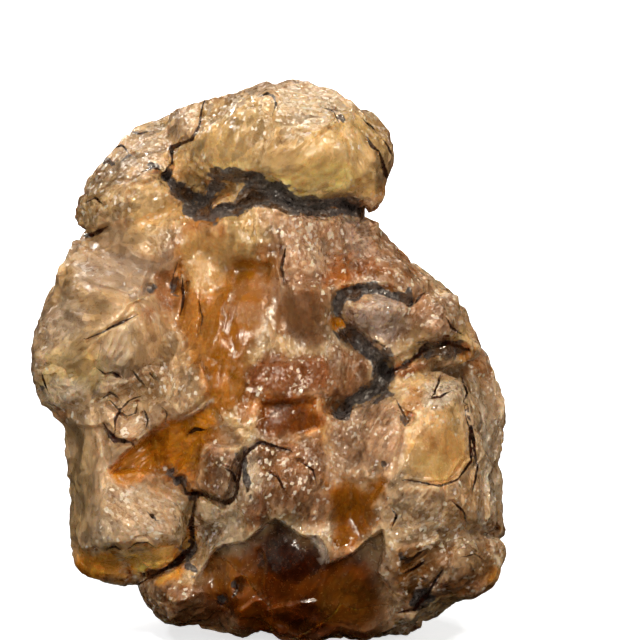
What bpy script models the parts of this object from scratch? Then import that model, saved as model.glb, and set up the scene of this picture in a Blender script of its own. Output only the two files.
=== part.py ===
"""A rough diamond: one natural stone, a cluster of resorbed lumps with a capped top and two open seams.

The stone is shaped in millimetres in its face frame, where X runs right, Z up and -Y out of the face.
Places on the face are given on a grid, in columns to the right and rows down, and heights and depths
in millimetres out of the face. The finished mesh is leant back, cut flat underneath and scaled to metres.
"""

import math

import bmesh
import bpy
import numpy as np
from mathutils import Euler, Matrix, Vector

# Driving dimensions
FACE_HEIGHT = 8.43  # mm, lowest lobe to the top of the cap, square to the face
GRID_ROWS = 562  # rows of the face grid over that height
LEAN = math.radians(15)  # how far the face leans back from upright
FLOOR = -4.04  # mm, the height of the rest face from the middle of the grid, once leant
AXIS = (0.0, 0.10)  # mm, where the stone's middle lies from the middle of the grid, right and back
SKIN = 0.06  # mm, the spacing of the sculpted surface
TRIANGLES = 9200  # what the finished stone keeps of it

BROWN = (0.36, 0.20, 0.08, 1.0)  # champagne brown
ROUGHNESS = 0.35
DIAMOND_IOR = 2.42

STEP = FACE_HEIGHT / GRID_ROWS  # mm, one step of the face grid
MIDDLE = (270, 360)  # the grid's column and row at the stone's axis
MM = 0.001  # metres
RIM_SLOTS = 240  # how many bearings round the rim are matched to the outline
CUTTER_SIZE = 0.02  # metres, larger than the stone

# The stone's outline seen square to its face, clockwise from the top, in columns and rows.
OUTLINE = [
    (290, 79), (325, 86), (350, 99), (372, 112), (388, 127), (396, 145), (396, 162), (391, 178),
    (384, 194), (379, 205), (374, 215), (380, 226), (390, 239), (410, 259), (438, 279), (456, 294),
    (469, 314), (477, 336), (490, 358), (501, 384), (508, 410), (506, 436), (502, 456), (505, 476),
    (504, 502), (507, 530), (508, 550), (503, 570), (491, 590), (470, 602), (456, 604), (440, 614),
    (425, 627), (404, 637), (380, 640), (345, 644), (300, 643), (275, 638), (259, 632), (245, 637),
    (228, 641), (206, 632), (190, 625), (171, 627), (152, 614), (142, 599), (136, 587), (112, 584),
    (91, 579), (75, 568), (68, 548), (69, 520), (69, 488), (65, 455), (62, 425), (47, 412),
    (36, 392), (30, 362), (34, 333), (45, 300), (58, 269), (72, 246), (77, 231), (73, 215),
    (80, 192), (91, 172), (107, 157), (121, 138), (140, 124), (162, 117), (180, 106), (205, 101),
    (240, 90), (262, 82),
]

# Lumps that have grown together: (column, row, depth), half (width, height, depth) in mm, roll.
LUMPS = {
    "cap": ((280, 148, 0.35), (1.66, 0.98, 1.80), 4),
    "cap_end": ((358, 155, 0.35), (0.58, 0.72, 1.20), 0),
    "shoulder": ((140, 190, -0.10), (0.98, 1.15, 1.60), 28),
    "neck": ((270, 225, 0.20), (1.45, 1.00, 1.75), 0),
    "saddle": ((160, 246, 0.20), (0.95, 0.80, 1.50), -10),
    "left_bulge": ((118, 332, 0.10), (1.34, 1.42, 1.95), 8),
    "core": ((262, 390, 0.00), (2.10, 2.60, 2.30), 0),
    "mid_ridge": ((302, 290, 0.55), (0.62, 1.20, 1.75), -4),
    "right_shoulder": ((372, 292, 0.30), (1.15, 1.00, 1.75), -40),
    "right_lump": ((434, 325, 0.15), (0.68, 0.66, 1.50), -20),
    "right_block": ((408, 480, 0.40), (1.22, 1.72, 1.95), 2),
    "back_lobe": ((440, 445, -1.10), (1.04, 1.62, 1.35), 0),
    "left_column": ((122, 470, 0.25), (0.82, 1.70, 1.40), 0),
    "foot": ((140, 525, 0.60), (0.82, 0.72, 1.20), 8),
    "bottom": ((300, 555, 0.05), (1.65, 1.24, 1.85), 0),
    "front_sill": ((290, 480, 0.65), (1.20, 0.95, 1.60), 0),
    "heel": ((184, 590, 0.35), (0.66, 0.58, 0.95), 15),
    "right_heel": ((440, 560, 0.20), (0.92, 0.72, 1.50), 20),
    "rear_low": ((300, 520, -1.15), (1.50, 1.50, 1.45), 0),
    "rear_heel": ((205, 555, -0.55), (1.00, 1.12, 1.10), 10),
    "rear_high": ((225, 262, -1.00), (1.50, 1.60, 1.55), 0),
    "rear_left": ((160, 420, -0.90), (1.20, 1.40, 1.45), 0),
    "trough": ((205, 300, 0.25), (0.85, 1.25, 1.52), 0),
    "cap_low": ((290, 172, 0.35), (1.15, 0.75, 1.55), 4),
    "between_seams": ((385, 352, 0.25), (0.75, 0.75, 1.52), 0),
}

# Flat faces of the growth: outline on the face, mm raised at the middle, slopes to the right and up.
FACES = {
    "cap_crown": ([(283, 92), (330, 90), (342, 118), (312, 134), (279, 122)], 0.02, 0.04, -0.21),
    "cap_left": ([(206, 122), (262, 98), (277, 150), (262, 177), (222, 174), (200, 158)], 0.03, -0.13, 0.00),
    "cap_front": ([(277, 128), (338, 120), (346, 168), (318, 190), (282, 176)], 0.06, 0.07, 0.08),
    "cap_end": ([(342, 104), (386, 128), (394, 160), (376, 184), (348, 164)], 0.01, -0.24, 0.00),
    "brow": ([(163, 130), (198, 108), (204, 128), (190, 141), (168, 148)], 0.04, 0.14, -0.14),
    "shoulder_top": ([(106, 146), (160, 122), (168, 165), (140, 182), (98, 176)], 0.02, 0.07, -0.17),
    "shoulder_side": ([(78, 190), (130, 182), (122, 226), (80, 224)], 0.03, 0.21, 0.00),
    "pale_patch": ([(130, 190), (164, 186), (174, 236), (152, 256), (126, 238)], 0.01, -0.07, 0.07),
    "fan_upper": ([(140, 300), (150, 254), (100, 246), (62, 270)], 0.04, 0.07, -0.17),
    "fan_outer": ([(140, 300), (58, 276), (42, 322), (66, 334)], 0.01, 0.21, -0.04),
    "fan_middle": ([(140, 300), (62, 336), (48, 372), (90, 350)], 0.04, 0.14, 0.07),
    "fan_lower": ([(140, 302), (90, 350), (98, 396), (126, 380)], -0.01, 0.21, 0.07),
    "fan_inner": ([(140, 302), (128, 380), (190, 376), (184, 318)], 0.03, -0.10, 0.07),
    "glow": ([(188, 236), (224, 232), (230, 288), (202, 296), (184, 262)], -0.03, -0.07, 0.05),
    "tan_plate": ([(225, 206), (262, 210), (262, 258), (230, 256)], 0.04, -0.10, 0.03),
    "glitter": ([(280, 216), (344, 220), (340, 262), (312, 276), (283, 262)], 0.04, 0.08, -0.10),
    "mauve": ([(287, 284), (328, 288), (328, 336), (304, 354), (282, 332)], 0.06, 0.14, 0.07),
    "trough_wall": ([(236, 262), (278, 256), (270, 330), (248, 372), (228, 330)], -0.01, 0.14, 0.00),
    "mid_slab": ([(252, 360), (322, 362), (330, 392), (294, 404), (252, 398)], 0.06, 0.04, 0.10),
    "pocket": ([(265, 404), (318, 400), (318, 428), (288, 442), (264, 438)], -0.11, -0.07, -0.14),
    "shoulder_panel": ([(347, 220), (373, 218), (380, 256), (352, 264)], 0.04, -0.21, 0.00),
    "shoulder_slope": ([(378, 232), (424, 266), (402, 284), (374, 262)], 0.02, -0.14, -0.14),
    "seam_block": ([(350, 306), (396, 302), (412, 326), (386, 346), (356, 330)], 0.10, -0.10, -0.07),
    "seam_block_low": ([(328, 346), (364, 360), (374, 384), (346, 394), (324, 378)], 0.08, 0.10, 0.07),
    "lump_face": ([(406, 300), (440, 286), (454, 300), (440, 334), (414, 328)], 0.03, 0.10, -0.10),
    "lump_side": ([(442, 334), (456, 300), (474, 328), (466, 344)], 0.01, -0.21, 0.07),
    "frost_plate": ([(336, 402), (394, 394), (402, 440), (386, 478), (338, 470), (322, 440)], 0.07, 0.08, 0.04),
    "white_patch": ([(420, 384), (456, 388), (456, 410), (425, 412)], 0.06, -0.07, -0.17),
    "window": ([(404, 418), (463, 410), (469, 456), (444, 480), (406, 477)], -0.05, -0.07, 0.07),
    "striped_face": ([(386, 482), (440, 486), (440, 524), (400, 540), (378, 518)], 0.04, 0.14, 0.07),
    "outer_face": ([(446, 484), (480, 470), (482, 508), (462, 540), (442, 524)], 0.04, -0.21, 0.04),
    "amber_zone": ([(325, 480), (378, 482), (380, 520), (352, 546), (326, 538)], -0.06, -0.07, 0.10),
    "heel_face": ([(400, 546), (440, 532), (454, 560), (426, 598), (396, 588)], 0.04, 0.07, 0.21),
    "heel_outer": ([(460, 546), (500, 542), (498, 572), (470, 596), (446, 584)], 0.02, -0.17, 0.17),
    "sill_left": ([(214, 452), (262, 446), (262, 478), (238, 500), (212, 498)], 0.04, -0.07, 0.00),
    "sill_right": ([(264, 446), (318, 442), (328, 480), (300, 512), (264, 500)], 0.06, 0.07, 0.07),
    "sill_wedge": ([(240, 502), (262, 482), (266, 528), (242, 538)], 0.07, 0.14, 0.00),
    "pale_tongue": ([(196, 502), (238, 506), (236, 544), (202, 548)], 0.01, -0.17, 0.04),
    "tooth": ([(202, 442), (241, 450), (234, 494), (226, 502), (206, 494), (195, 480)], 0.17, -0.07, 0.15),
    "crack_plate": ([(106, 384), (204, 362), (214, 396), (130, 446), (102, 466)], 0.10, 0.04, 0.04),
    "amber_plane": ([(216, 398), (232, 388), (216, 412), (190, 474), (112, 471), (130, 448)], -0.09, 0.07, 0.19),
    "column_outer": ([(68, 432), (90, 430), (93, 520), (71, 532)], 0.01, 0.21, 0.00),
    "column_inner": ([(91, 430), (104, 468), (110, 500), (94, 520)], 0.04, -0.10, 0.00),
    "knob": ([(104, 504), (150, 498), (188, 506), (184, 534), (150, 548), (104, 544)], 0.07, -0.04, -0.14),
    "foot_under": ([(74, 548), (124, 550), (124, 582), (94, 579)], -0.05, 0.08, 0.44),
    "foot_wedge": ([(128, 548), (184, 546), (170, 566), (142, 580)], -0.08, -0.08, 0.40),
    "heel_top": ([(150, 582), (196, 574), (208, 598), (172, 606)], 0.04, -0.04, -0.14),
    "cavity_left": ([(214, 560), (262, 548), (262, 600), (226, 618)], -0.05, -0.12, 0.10),
    "cavity_mid": ([(264, 540), (322, 556), (316, 600), (264, 612)], -0.05, 0.01, 0.09),
    "cavity_right": ([(324, 562), (376, 556), (388, 592), (372, 628), (322, 620)], -0.02, 0.06, 0.06),
}

# Open seams and cracks: line on the face, width in grid steps, depth in mm.
SEAMS = {
    "under_cap": ([(163, 175), (172, 186), (184, 194), (197, 199), (207, 200), (213, 190), (222, 183),
                   (238, 180), (256, 182), (272, 186), (284, 195), (298, 203), (320, 205), (338, 202),
                   (354, 204), (368, 209)], 13, 0.24),
    "under_cap_low": ([(200, 203), (208, 214), (214, 216), (224, 209), (240, 208), (256, 200), (276, 204),
                       (298, 211), (330, 213), (362, 214)], 13, 0.22),
    "brow": ([(205, 103), (200, 126), (192, 140), (172, 147), (173, 163), (163, 176)], 6, 0.12),
    "loop_top": ([(335, 308), (337, 298), (348, 291), (364, 288), (380, 292), (395, 297), (410, 303)],
                 11, 0.16),
    "loop_side": ([(339, 322), (350, 333), (362, 343), (375, 356), (385, 370)], 18, 0.24),
    "loop_foot": ([(385, 372), (378, 384), (365, 393), (352, 399), (341, 407)], 14, 0.22),
    "loop_right": ([(388, 372), (402, 366), (414, 356), (426, 346), (448, 343), (468, 350)], 12, 0.20),
    "left_notch": ([(72, 232), (90, 235), (106, 228)], 8, 0.14),
    "bulge_crack": ([(88, 339), (112, 327), (137, 315)], 4, 0.06),
    "plate_crack": ([(105, 425), (115, 440), (132, 442)], 6, 0.10),
    "tooth_edge": ([(181, 479), (186, 494), (204, 492), (226, 503), (236, 496), (240, 470), (244, 452)],
                   7, 0.16),
    "foot_crack": ([(196, 494), (194, 510), (192, 530), (192, 546), (180, 560), (160, 573), (141, 584)],
                   8, 0.18),
    "window_edge": ([(463, 405), (469, 432), (470, 460), (456, 478), (438, 484), (405, 479)], 4, 0.06),
    "heel_crack": ([(442, 570), (430, 590), (415, 608), (398, 612)], 6, 0.12),
    "glint_crack": ([(286, 248), (282, 268), (284, 284)], 4, 0.07),
    "spot_crack": ([(183, 280), (184, 296), (182, 314)], 4, 0.07),
    "mid_crack": ([(240, 462), (250, 450), (262, 442), (290, 450)], 5, 0.08),
}

# Ledges: the surface drops off on the right of the line as it runs, by mm, and comes back over a reach.
LEDGES = {
    "plate_rim": ([(102, 470), (130, 447), (175, 419), (216, 394)], 0.20, 90),
    "skin_rim": ([(190, 592), (210, 558), (221, 545), (240, 541), (262, 528), (276, 518), (297, 529),
                  (309, 530), (320, 544), (325, 557), (356, 549), (371, 532), (384, 530), (389, 546),
                  (380, 566), (391, 587), (394, 607), (380, 640)], 0.34, 150),
    "trough_side": ([(238, 404), (262, 362), (276, 328), (283, 288), (287, 246)], 0.07, 80),
    "outer_rim": ([(500, 566), (479, 522), (484, 500), (486, 460), (481, 396), (470, 372)], 0.28, 60),
    "column_step": ([(60, 422), (84, 428), (104, 424)], 0.16, 60),
    "foot_rim": ([(70, 546), (104, 548), (150, 550), (186, 540)], 0.18, 60),
    "lip": ([(290, 186), (330, 194), (372, 200)], 0.06, 30),
}

# Small pits: column, row, radius in grid steps, depth in mm.
PITS = [
    (339, 404, 13, 0.34), (147, 289, 7, 0.16), (463, 350, 11, 0.22), (404, 418, 7, 0.14),
    (125, 150, 6, 0.10), (110, 164, 5, 0.08), (153, 171, 6, 0.10), (335, 118, 5, 0.08),
    (238, 590, 8, 0.14), (408, 560, 7, 0.12), (46, 382, 6, 0.10), (222, 603, 6, 0.10),
    (118, 371, 6, 0.09), (176, 290, 8, 0.10), (372, 470, 6, 0.08), (300, 466, 6, 0.07),
]

# Low crystal points cover the stone, lower on the face: mm from point to point, how steep they are.
CRYSTALS = ((1.30, 0.42), (0.55, 0.34))
# The relief strays from its drawn lines: mm between bends, mm of reach, seed.
STRAYS = ((0.62, 0.085, 21), (0.26, 0.035, 23))


def on_grid(line):
    """Grid points as millimetres across and up the face."""
    columns_rows = np.array(line, float)
    return np.column_stack(
        [(columns_rows[:, 0] - MIDDLE[0]) * STEP, (MIDDLE[1] - columns_rows[:, 1]) * STEP]
    )


def soft_step(value, start, end):
    t = np.clip((value - start) / (end - start), 0, 1)
    return t * t * (3 - 2 * t)


def lump(bm, centre, half_sizes, roll, rng):
    """One lump: a ball of flat facets, swollen here and there and drawn out to its half sizes."""
    made = bmesh.ops.create_icosphere(bm, subdivisions=3, radius=1.0)["verts"]
    half_width, half_height, half_depth = half_sizes
    turn = Euler((0, math.radians(roll), 0)).to_matrix()
    across, up = on_grid([centre[:2]])[0]
    middle = Vector((across, -centre[2], up))
    knobs = [(Vector(rng.normal(size=3)).normalized(), rng.uniform(-0.09, 0.09)) for _ in range(7)]
    for v in made:
        swell = 1 + sum(size * max(0, v.co.dot(knob)) ** 4 for knob, size in knobs)
        sized = Vector((v.co.x * half_width, v.co.y * half_depth, v.co.z * half_height))
        v.co = middle + turn @ (sized * swell)


def evaluated(obj):
    """The object's mesh with its modifiers applied."""
    bpy.context.view_layer.update()
    return bpy.data.meshes.new_from_object(obj.evaluated_get(bpy.context.evaluated_depsgraph_get()))


def remade(mesh, add_modifiers):
    """The mesh after the modifiers that add_modifiers puts on an object holding it."""
    helper = bpy.data.objects.new("helper", mesh)
    bpy.context.scene.collection.objects.link(helper)
    add_modifiers(helper)
    made = evaluated(helper)
    bpy.data.objects.remove(helper)
    return made


def fuse(obj):
    remesh = obj.modifiers.new("fuse", "REMESH")
    remesh.mode = "VOXEL"
    remesh.voxel_size = SKIN
    soften = obj.modifiers.new("soften", "SMOOTH")
    soften.iterations = 5


def fused_lumps():
    """All lumps as one even skin."""
    rng = np.random.default_rng(11)
    bm = bmesh.new()
    for centre, half_sizes, roll in LUMPS.values():
        lump(bm, centre, half_sizes, roll, rng)
    mesh = bpy.data.meshes.new("lumps")
    bm.to_mesh(mesh)
    bm.free()
    return remade(mesh, fuse)


def points_of(mesh):
    co = np.empty(len(mesh.vertices) * 3, np.float32)
    mesh.vertices.foreach_get("co", co)
    return co.reshape(-1, 3).astype(float)


def normals_of(mesh):
    normals = np.empty(len(mesh.vertices) * 3, np.float32)
    mesh.vertex_normals.foreach_get("vector", normals)
    return normals.reshape(-1, 3).astype(float)


def put_points(mesh, points):
    mesh.vertices.foreach_set("co", points.astype(np.float32).ravel())
    mesh.update()


def fit_outline(points):
    """Draws the points in or out across the face, most at the rim, until they fill OUTLINE."""
    rim = on_grid(OUTLINE)
    parts = np.linspace(0, 1, 12, endpoint=False)[:, None]
    dense = np.concatenate([a + (b - a) * parts for a, b in zip(rim, np.roll(rim, -1, axis=0))])
    bearing = np.arctan2(points[:, 2], points[:, 0])
    reach = np.hypot(points[:, 0], points[:, 2])
    slot = np.floor((bearing + math.pi) / (2 * math.pi) * RIM_SLOTS).astype(int) % RIM_SLOTS
    present = np.zeros(RIM_SLOTS)
    np.maximum.at(present, slot, reach)
    slot_bearings = (np.arange(RIM_SLOTS) + 0.5) / RIM_SLOTS * 2 * math.pi - math.pi
    rim_bearings = np.arctan2(dense[:, 1], dense[:, 0])
    order = np.argsort(rim_bearings)
    rim_reach = np.hypot(dense[order, 0], dense[order, 1])
    wanted = np.interp(slot_bearings, rim_bearings[order], rim_reach, period=2 * math.pi)
    growth = np.mean([np.roll(wanted / present, k) for k in (-1, 0, 1)], axis=0)
    share = reach / np.interp(bearing, slot_bearings, present, period=2 * math.pi)
    grow = 1 + (np.interp(bearing, slot_bearings, growth, period=2 * math.pi) - 1) * np.clip(share, 0, 1) ** 3
    fitted = points.copy()
    fitted[:, 0] *= grow
    fitted[:, 2] *= grow
    return fitted


def nearest_on_line(across, line):
    """Distance to a line on the face, with the side of it: positive on its left as it runs."""
    corners = on_grid(line)
    best = np.full(len(across), np.inf)
    side = np.zeros(len(across))
    along = np.zeros(len(across))
    for number, (a, b) in enumerate(zip(corners, corners[1:])):
        run = b - a
        t = np.clip(((across - a) @ run) / (run @ run), 0, 1)
        off = across - (a + t[:, None] * run)
        distance = np.hypot(off[:, 0], off[:, 1])
        nearer = distance < best
        best[nearer] = distance[nearer]
        side[nearer] = np.sign(run[0] * (across[nearer, 1] - a[1]) - run[1] * (across[nearer, 0] - a[0]))
        along[nearer] = (number + t[nearer]) / (len(corners) - 1)
    return best, side, along


def inside_outline(across, outline, softness):
    """1 inside a convex outline on the face, falling to 0 over softness, in mm."""
    corners = on_grid(outline)
    middle = corners.mean(axis=0)
    depth = np.full(len(across), np.inf)
    for a, b in zip(corners, np.roll(corners, -1, axis=0)):
        normal = np.array([b[1] - a[1], a[0] - b[0]])
        normal /= np.hypot(*normal)
        if (middle - a) @ normal < 0:
            normal = -normal
        depth = np.minimum(depth, (across - a) @ normal)
    return soft_step(depth, -softness / 2, softness / 2), middle


def lattice_noise(points, size, seed):
    """Smooth noise from -1 to 1 with lumps about size mm across."""
    table = np.random.default_rng(seed).uniform(-1, 1, (32, 32, 32))
    spread = points / size
    cell = np.floor(spread).astype(int)
    part = spread - cell
    part = part * part * (3 - 2 * part)
    total = np.zeros(len(points))
    for corner in np.ndindex(2, 2, 2):
        weight = np.prod(np.where(np.array(corner), part, 1 - part), axis=1)
        total += weight * table[tuple(((cell + corner) % 32).T)]
    return total


def strayed(points):
    """Places across and up the face, moved about a little so that no edge runs straight."""
    moved = points[:, [0, 2]].copy()
    for size, reach, seed in STRAYS:
        moved[:, 0] += reach * lattice_noise(points, size, seed)
        moved[:, 1] += reach * lattice_noise(points, size, seed + 1)
    return moved


def face_relief(across):
    """Height out of the face, in mm, that its flat faces, ledges, seams and pits add."""
    height = np.zeros(len(across))
    for outline, raised, slope_right, slope_up in FACES.values():
        inside, middle = inside_outline(across, outline, 0.09)
        height += inside * (raised + (across - middle) @ np.array([slope_right, slope_up]))
    for line, drop, reach in LEDGES.values():
        distance, side, along = nearest_on_line(across, line)
        ends = soft_step(np.minimum(along, 1 - along), 0, 0.08)
        fade = 1 - soft_step(distance, 0, reach * STEP)
        height -= drop * fade * ends * soft_step(-side * distance, -0.03, 0.05)
    for line, width, depth in SEAMS.values():
        distance, _, _ = nearest_on_line(across, line)
        height -= depth * (1 - soft_step(distance, 0.15 * width * STEP, 0.75 * width * STEP))
    for column, row, radius, depth in PITS:
        distance = np.hypot(*(across - on_grid([(column, row)])[0]).T)
        height -= depth * (1 - soft_step(distance, 0.3 * radius * STEP, 1.3 * radius * STEP))
    return height


def crystal_points(points, size, slope, rng):
    """Height of low crystal points about size mm across, grown together around the whole stone."""
    jitter = rng.uniform(0.1, 0.9, (16, 16, 16, 3)).astype(np.float32)
    turns = np.linalg.qr(rng.normal(size=(16, 16, 16, 3, 3)))[0].astype(np.float32)
    spread = (points / size).astype(np.float32)
    cell = np.floor(spread).astype(int)
    height = np.full(len(points), -np.inf, np.float32)
    for offset in np.ndindex(3, 3, 3):
        near = cell + np.array(offset) - 1
        pick = tuple((near % 16).T)
        away = spread - (near + jitter[pick])
        steepest = np.abs(np.einsum("nij,nj->ni", turns[pick], away)).max(axis=1)
        height = np.maximum(height, -steepest)
    return (height - height.mean()) * slope * size


def sculpt(mesh):
    """Gives the fused lumps their outline, its crystal points and the relief of the face."""
    put_points(mesh, fit_outline(points_of(mesh)))
    points = points_of(mesh)
    normals = normals_of(mesh)
    across = strayed(points)
    facing = soft_step(-normals[:, 1], 0.10, 0.45)
    rng = np.random.default_rng(5)
    crystals = sum(crystal_points(points, size, slope, rng) for size, slope in CRYSTALS)
    points += normals * (crystals * (1 - 0.70 * facing))[:, None]
    points[:, 1] -= face_relief(across) * facing
    put_points(mesh, fit_outline(points))


def thin(obj):
    """Keeps the triangles where the surface turns, and few on the flat faces."""
    collapse = obj.modifiers.new("thin", "DECIMATE")
    collapse.ratio = TRIANGLES / (2 * len(obj.data.polygons))
    collapse.use_collapse_triangulate = True


def stone_mesh():
    """The stone leant back, at its real size, with its lowest lobes still reaching below the floor."""
    mesh = fused_lumps()
    sculpt(mesh)
    thinned = remade(mesh, thin)
    thinned.transform(Matrix.Rotation(-LEAN, 4, "X"))
    thinned.transform(Matrix.Translation((-AXIS[0], -AXIS[1], -FLOOR)))
    thinned.transform(Matrix.Scale(MM, 4))
    return thinned


def diamond_material():
    material = bpy.data.materials.new("rough_diamond")
    material.use_nodes = True
    surface = material.node_tree.nodes["Principled BSDF"]
    surface.inputs["Base Color"].default_value = BROWN
    surface.inputs["Roughness"].default_value = ROUGHNESS
    surface.inputs["Metallic"].default_value = 0.0
    surface.inputs["IOR"].default_value = DIAMOND_IOR
    return material


def floor_cutter(collection):
    """A block whose top is the plane of the rest face."""
    bm = bmesh.new()
    bmesh.ops.create_cube(bm, size=CUTTER_SIZE)
    mesh = bpy.data.meshes.new("floor_cutter")
    bm.to_mesh(mesh)
    bm.free()
    cutter = bpy.data.objects.new("floor_cutter", mesh)
    cutter.location.z = -CUTTER_SIZE / 2
    cutter.hide_render = True
    cutter.display_type = "WIRE"
    collection.objects.link(cutter)
    return cutter


def collection_named(name):
    collection = bpy.data.collections.new(name)
    bpy.context.scene.collection.children.link(collection)
    return collection


def main():
    for obj in list(bpy.data.objects):
        bpy.data.objects.remove(obj)
    stone = bpy.data.objects.new("rough_diamond", stone_mesh())
    stone.data.materials.append(diamond_material())
    collection_named("rough_diamond").objects.link(stone)
    rest_face = stone.modifiers.new("rest_face", "BOOLEAN")
    rest_face.operation = "DIFFERENCE"
    rest_face.solver = "EXACT"
    rest_face.object = floor_cutter(collection_named("cutters"))


main()
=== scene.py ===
"""The looks of the rough diamond: the same stone as the CAD solid, sculpted fine and finished.

The stone is shaped in millimetres in its face frame, as in the part's source: X runs right, Z up and -Y
out of the face. Places on the face are given on a grid, in columns to the right and rows down. The coarse
form repeats the part's named values, with hair cracks, growth lines and finer crystal points over it.
Colour, film, clearness and glints are laid on by patches, by how hollow or proud the skin is,
and by noise, and are kept as attributes of the mesh that its material reads.
"""

import math
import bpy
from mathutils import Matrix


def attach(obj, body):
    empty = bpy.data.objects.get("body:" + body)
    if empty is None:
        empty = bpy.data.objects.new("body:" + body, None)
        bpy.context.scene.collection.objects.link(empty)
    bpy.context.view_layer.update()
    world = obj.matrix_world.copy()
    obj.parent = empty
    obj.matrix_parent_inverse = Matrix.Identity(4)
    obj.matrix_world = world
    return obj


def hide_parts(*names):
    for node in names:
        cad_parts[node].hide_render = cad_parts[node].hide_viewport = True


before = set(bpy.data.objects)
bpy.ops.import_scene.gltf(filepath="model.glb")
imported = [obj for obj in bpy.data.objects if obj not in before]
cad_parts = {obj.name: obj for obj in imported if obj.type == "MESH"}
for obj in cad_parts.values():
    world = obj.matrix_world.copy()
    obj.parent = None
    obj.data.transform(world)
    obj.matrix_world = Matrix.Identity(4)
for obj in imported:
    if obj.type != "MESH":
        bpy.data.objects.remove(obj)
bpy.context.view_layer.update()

from types import SimpleNamespace

import bmesh
import bpy
import numpy as np
from mathutils import Euler, Matrix, Vector

# The part's driving dimensions.
FACE_HEIGHT = 8.43  # mm, lowest lobe to the top of the cap, square to the face
GRID_ROWS = 562  # rows of the face grid over that height
LEAN = math.radians(15)  # how far the face leans back from upright
FLOOR = -4.04  # mm, the height of the rest face from the middle of the grid, once leant
AXIS = (0.0, 0.10)  # mm, where the stone's middle lies from the middle of the grid, right and back
STEP = FACE_HEIGHT / GRID_ROWS  # mm, one step of the face grid
MIDDLE = (270, 360)  # the grid's column and row at the stone's axis
MM = 0.001  # metres
RIM_SLOTS = 240  # how many bearings round the rim are matched to the outline

# How finely the stone is sculpted here.
SKIN = 0.045  # mm, the spacing of the fused skin, which is then halved
SOFTENING = 9  # rounds of smoothing, which bring the skin to the part's own softness
SMEARING = 40  # rounds of smoothing of the copy that the skin stands proud of or lies below
KEPT_TRIANGLES = 194000
CREASE = math.radians(22)  # edges that turn more than this are shaded sharp

# How far the relief and the colours of the face reach.
FACING = (0.10, 0.45)  # how squarely the skin faces the front where the relief starts, and where it is full
FACE_EDGE = 0.09  # mm, how soft the edge of a flat face is
TINT_EDGE = 0.14  # mm, how soft the edge of a tinted face is
CRACK_REACH = 8  # grid steps from a crack within which its two sides are told apart
FAR_SIDE = 9.0  # half widths, as far from a crack as its sides are measured

# The stone's outline seen square to its face, clockwise from the top, in columns and rows.
OUTLINE = [
    (290, 79), (325, 86), (350, 99), (372, 112), (388, 127), (396, 145), (396, 162), (391, 178),
    (384, 194), (379, 205), (374, 215), (380, 226), (390, 239), (410, 259), (438, 279), (456, 294),
    (469, 314), (477, 336), (490, 358), (501, 384), (508, 410), (506, 436), (502, 456), (505, 476),
    (504, 502), (507, 530), (508, 550), (503, 570), (491, 590), (470, 602), (456, 604), (440, 614),
    (425, 627), (404, 637), (380, 640), (345, 644), (300, 643), (275, 638), (259, 632), (245, 637),
    (228, 641), (206, 632), (190, 625), (171, 627), (152, 614), (142, 599), (136, 587), (112, 584),
    (91, 579), (75, 568), (68, 548), (69, 520), (69, 488), (65, 455), (62, 425), (47, 412),
    (36, 392), (30, 362), (34, 333), (45, 300), (58, 269), (72, 246), (77, 231), (73, 215),
    (80, 192), (91, 172), (107, 157), (121, 138), (140, 124), (162, 117), (180, 106), (205, 101),
    (240, 90), (262, 82),
]

# Lumps that have grown together: (column, row, depth), half (width, height, depth) in mm, roll.
LUMPS = {
    "cap": ((280, 148, 0.35), (1.66, 0.98, 1.80), 4),
    "cap_end": ((358, 155, 0.35), (0.58, 0.72, 1.20), 0),
    "shoulder": ((140, 190, -0.10), (0.98, 1.15, 1.60), 28),
    "neck": ((270, 225, 0.20), (1.45, 1.00, 1.75), 0),
    "saddle": ((160, 246, 0.20), (0.95, 0.80, 1.50), -10),
    "left_bulge": ((118, 332, 0.10), (1.34, 1.42, 1.95), 8),
    "core": ((262, 390, 0.00), (2.10, 2.60, 2.30), 0),
    "mid_ridge": ((302, 290, 0.55), (0.62, 1.20, 1.75), -4),
    "right_shoulder": ((372, 292, 0.30), (1.15, 1.00, 1.75), -40),
    "right_lump": ((434, 325, 0.15), (0.68, 0.66, 1.50), -20),
    "right_block": ((408, 480, 0.40), (1.22, 1.72, 1.95), 2),
    "back_lobe": ((440, 445, -1.10), (1.04, 1.62, 1.35), 0),
    "left_column": ((122, 470, 0.25), (0.82, 1.70, 1.40), 0),
    "foot": ((140, 525, 0.60), (0.82, 0.72, 1.20), 8),
    "bottom": ((300, 555, 0.05), (1.65, 1.24, 1.85), 0),
    "front_sill": ((290, 480, 0.65), (1.20, 0.95, 1.60), 0),
    "heel": ((184, 590, 0.35), (0.66, 0.58, 0.95), 15),
    "right_heel": ((440, 560, 0.20), (0.92, 0.72, 1.50), 20),
    "rear_low": ((300, 520, -1.15), (1.50, 1.50, 1.45), 0),
    "rear_heel": ((205, 555, -0.55), (1.00, 1.12, 1.10), 10),
    "rear_high": ((225, 262, -1.00), (1.50, 1.60, 1.55), 0),
    "rear_left": ((160, 420, -0.90), (1.20, 1.40, 1.45), 0),
    "trough": ((205, 300, 0.25), (0.85, 1.25, 1.52), 0),
    "cap_low": ((290, 172, 0.35), (1.15, 0.75, 1.55), 4),
    "between_seams": ((385, 352, 0.25), (0.75, 0.75, 1.52), 0),
}

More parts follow.
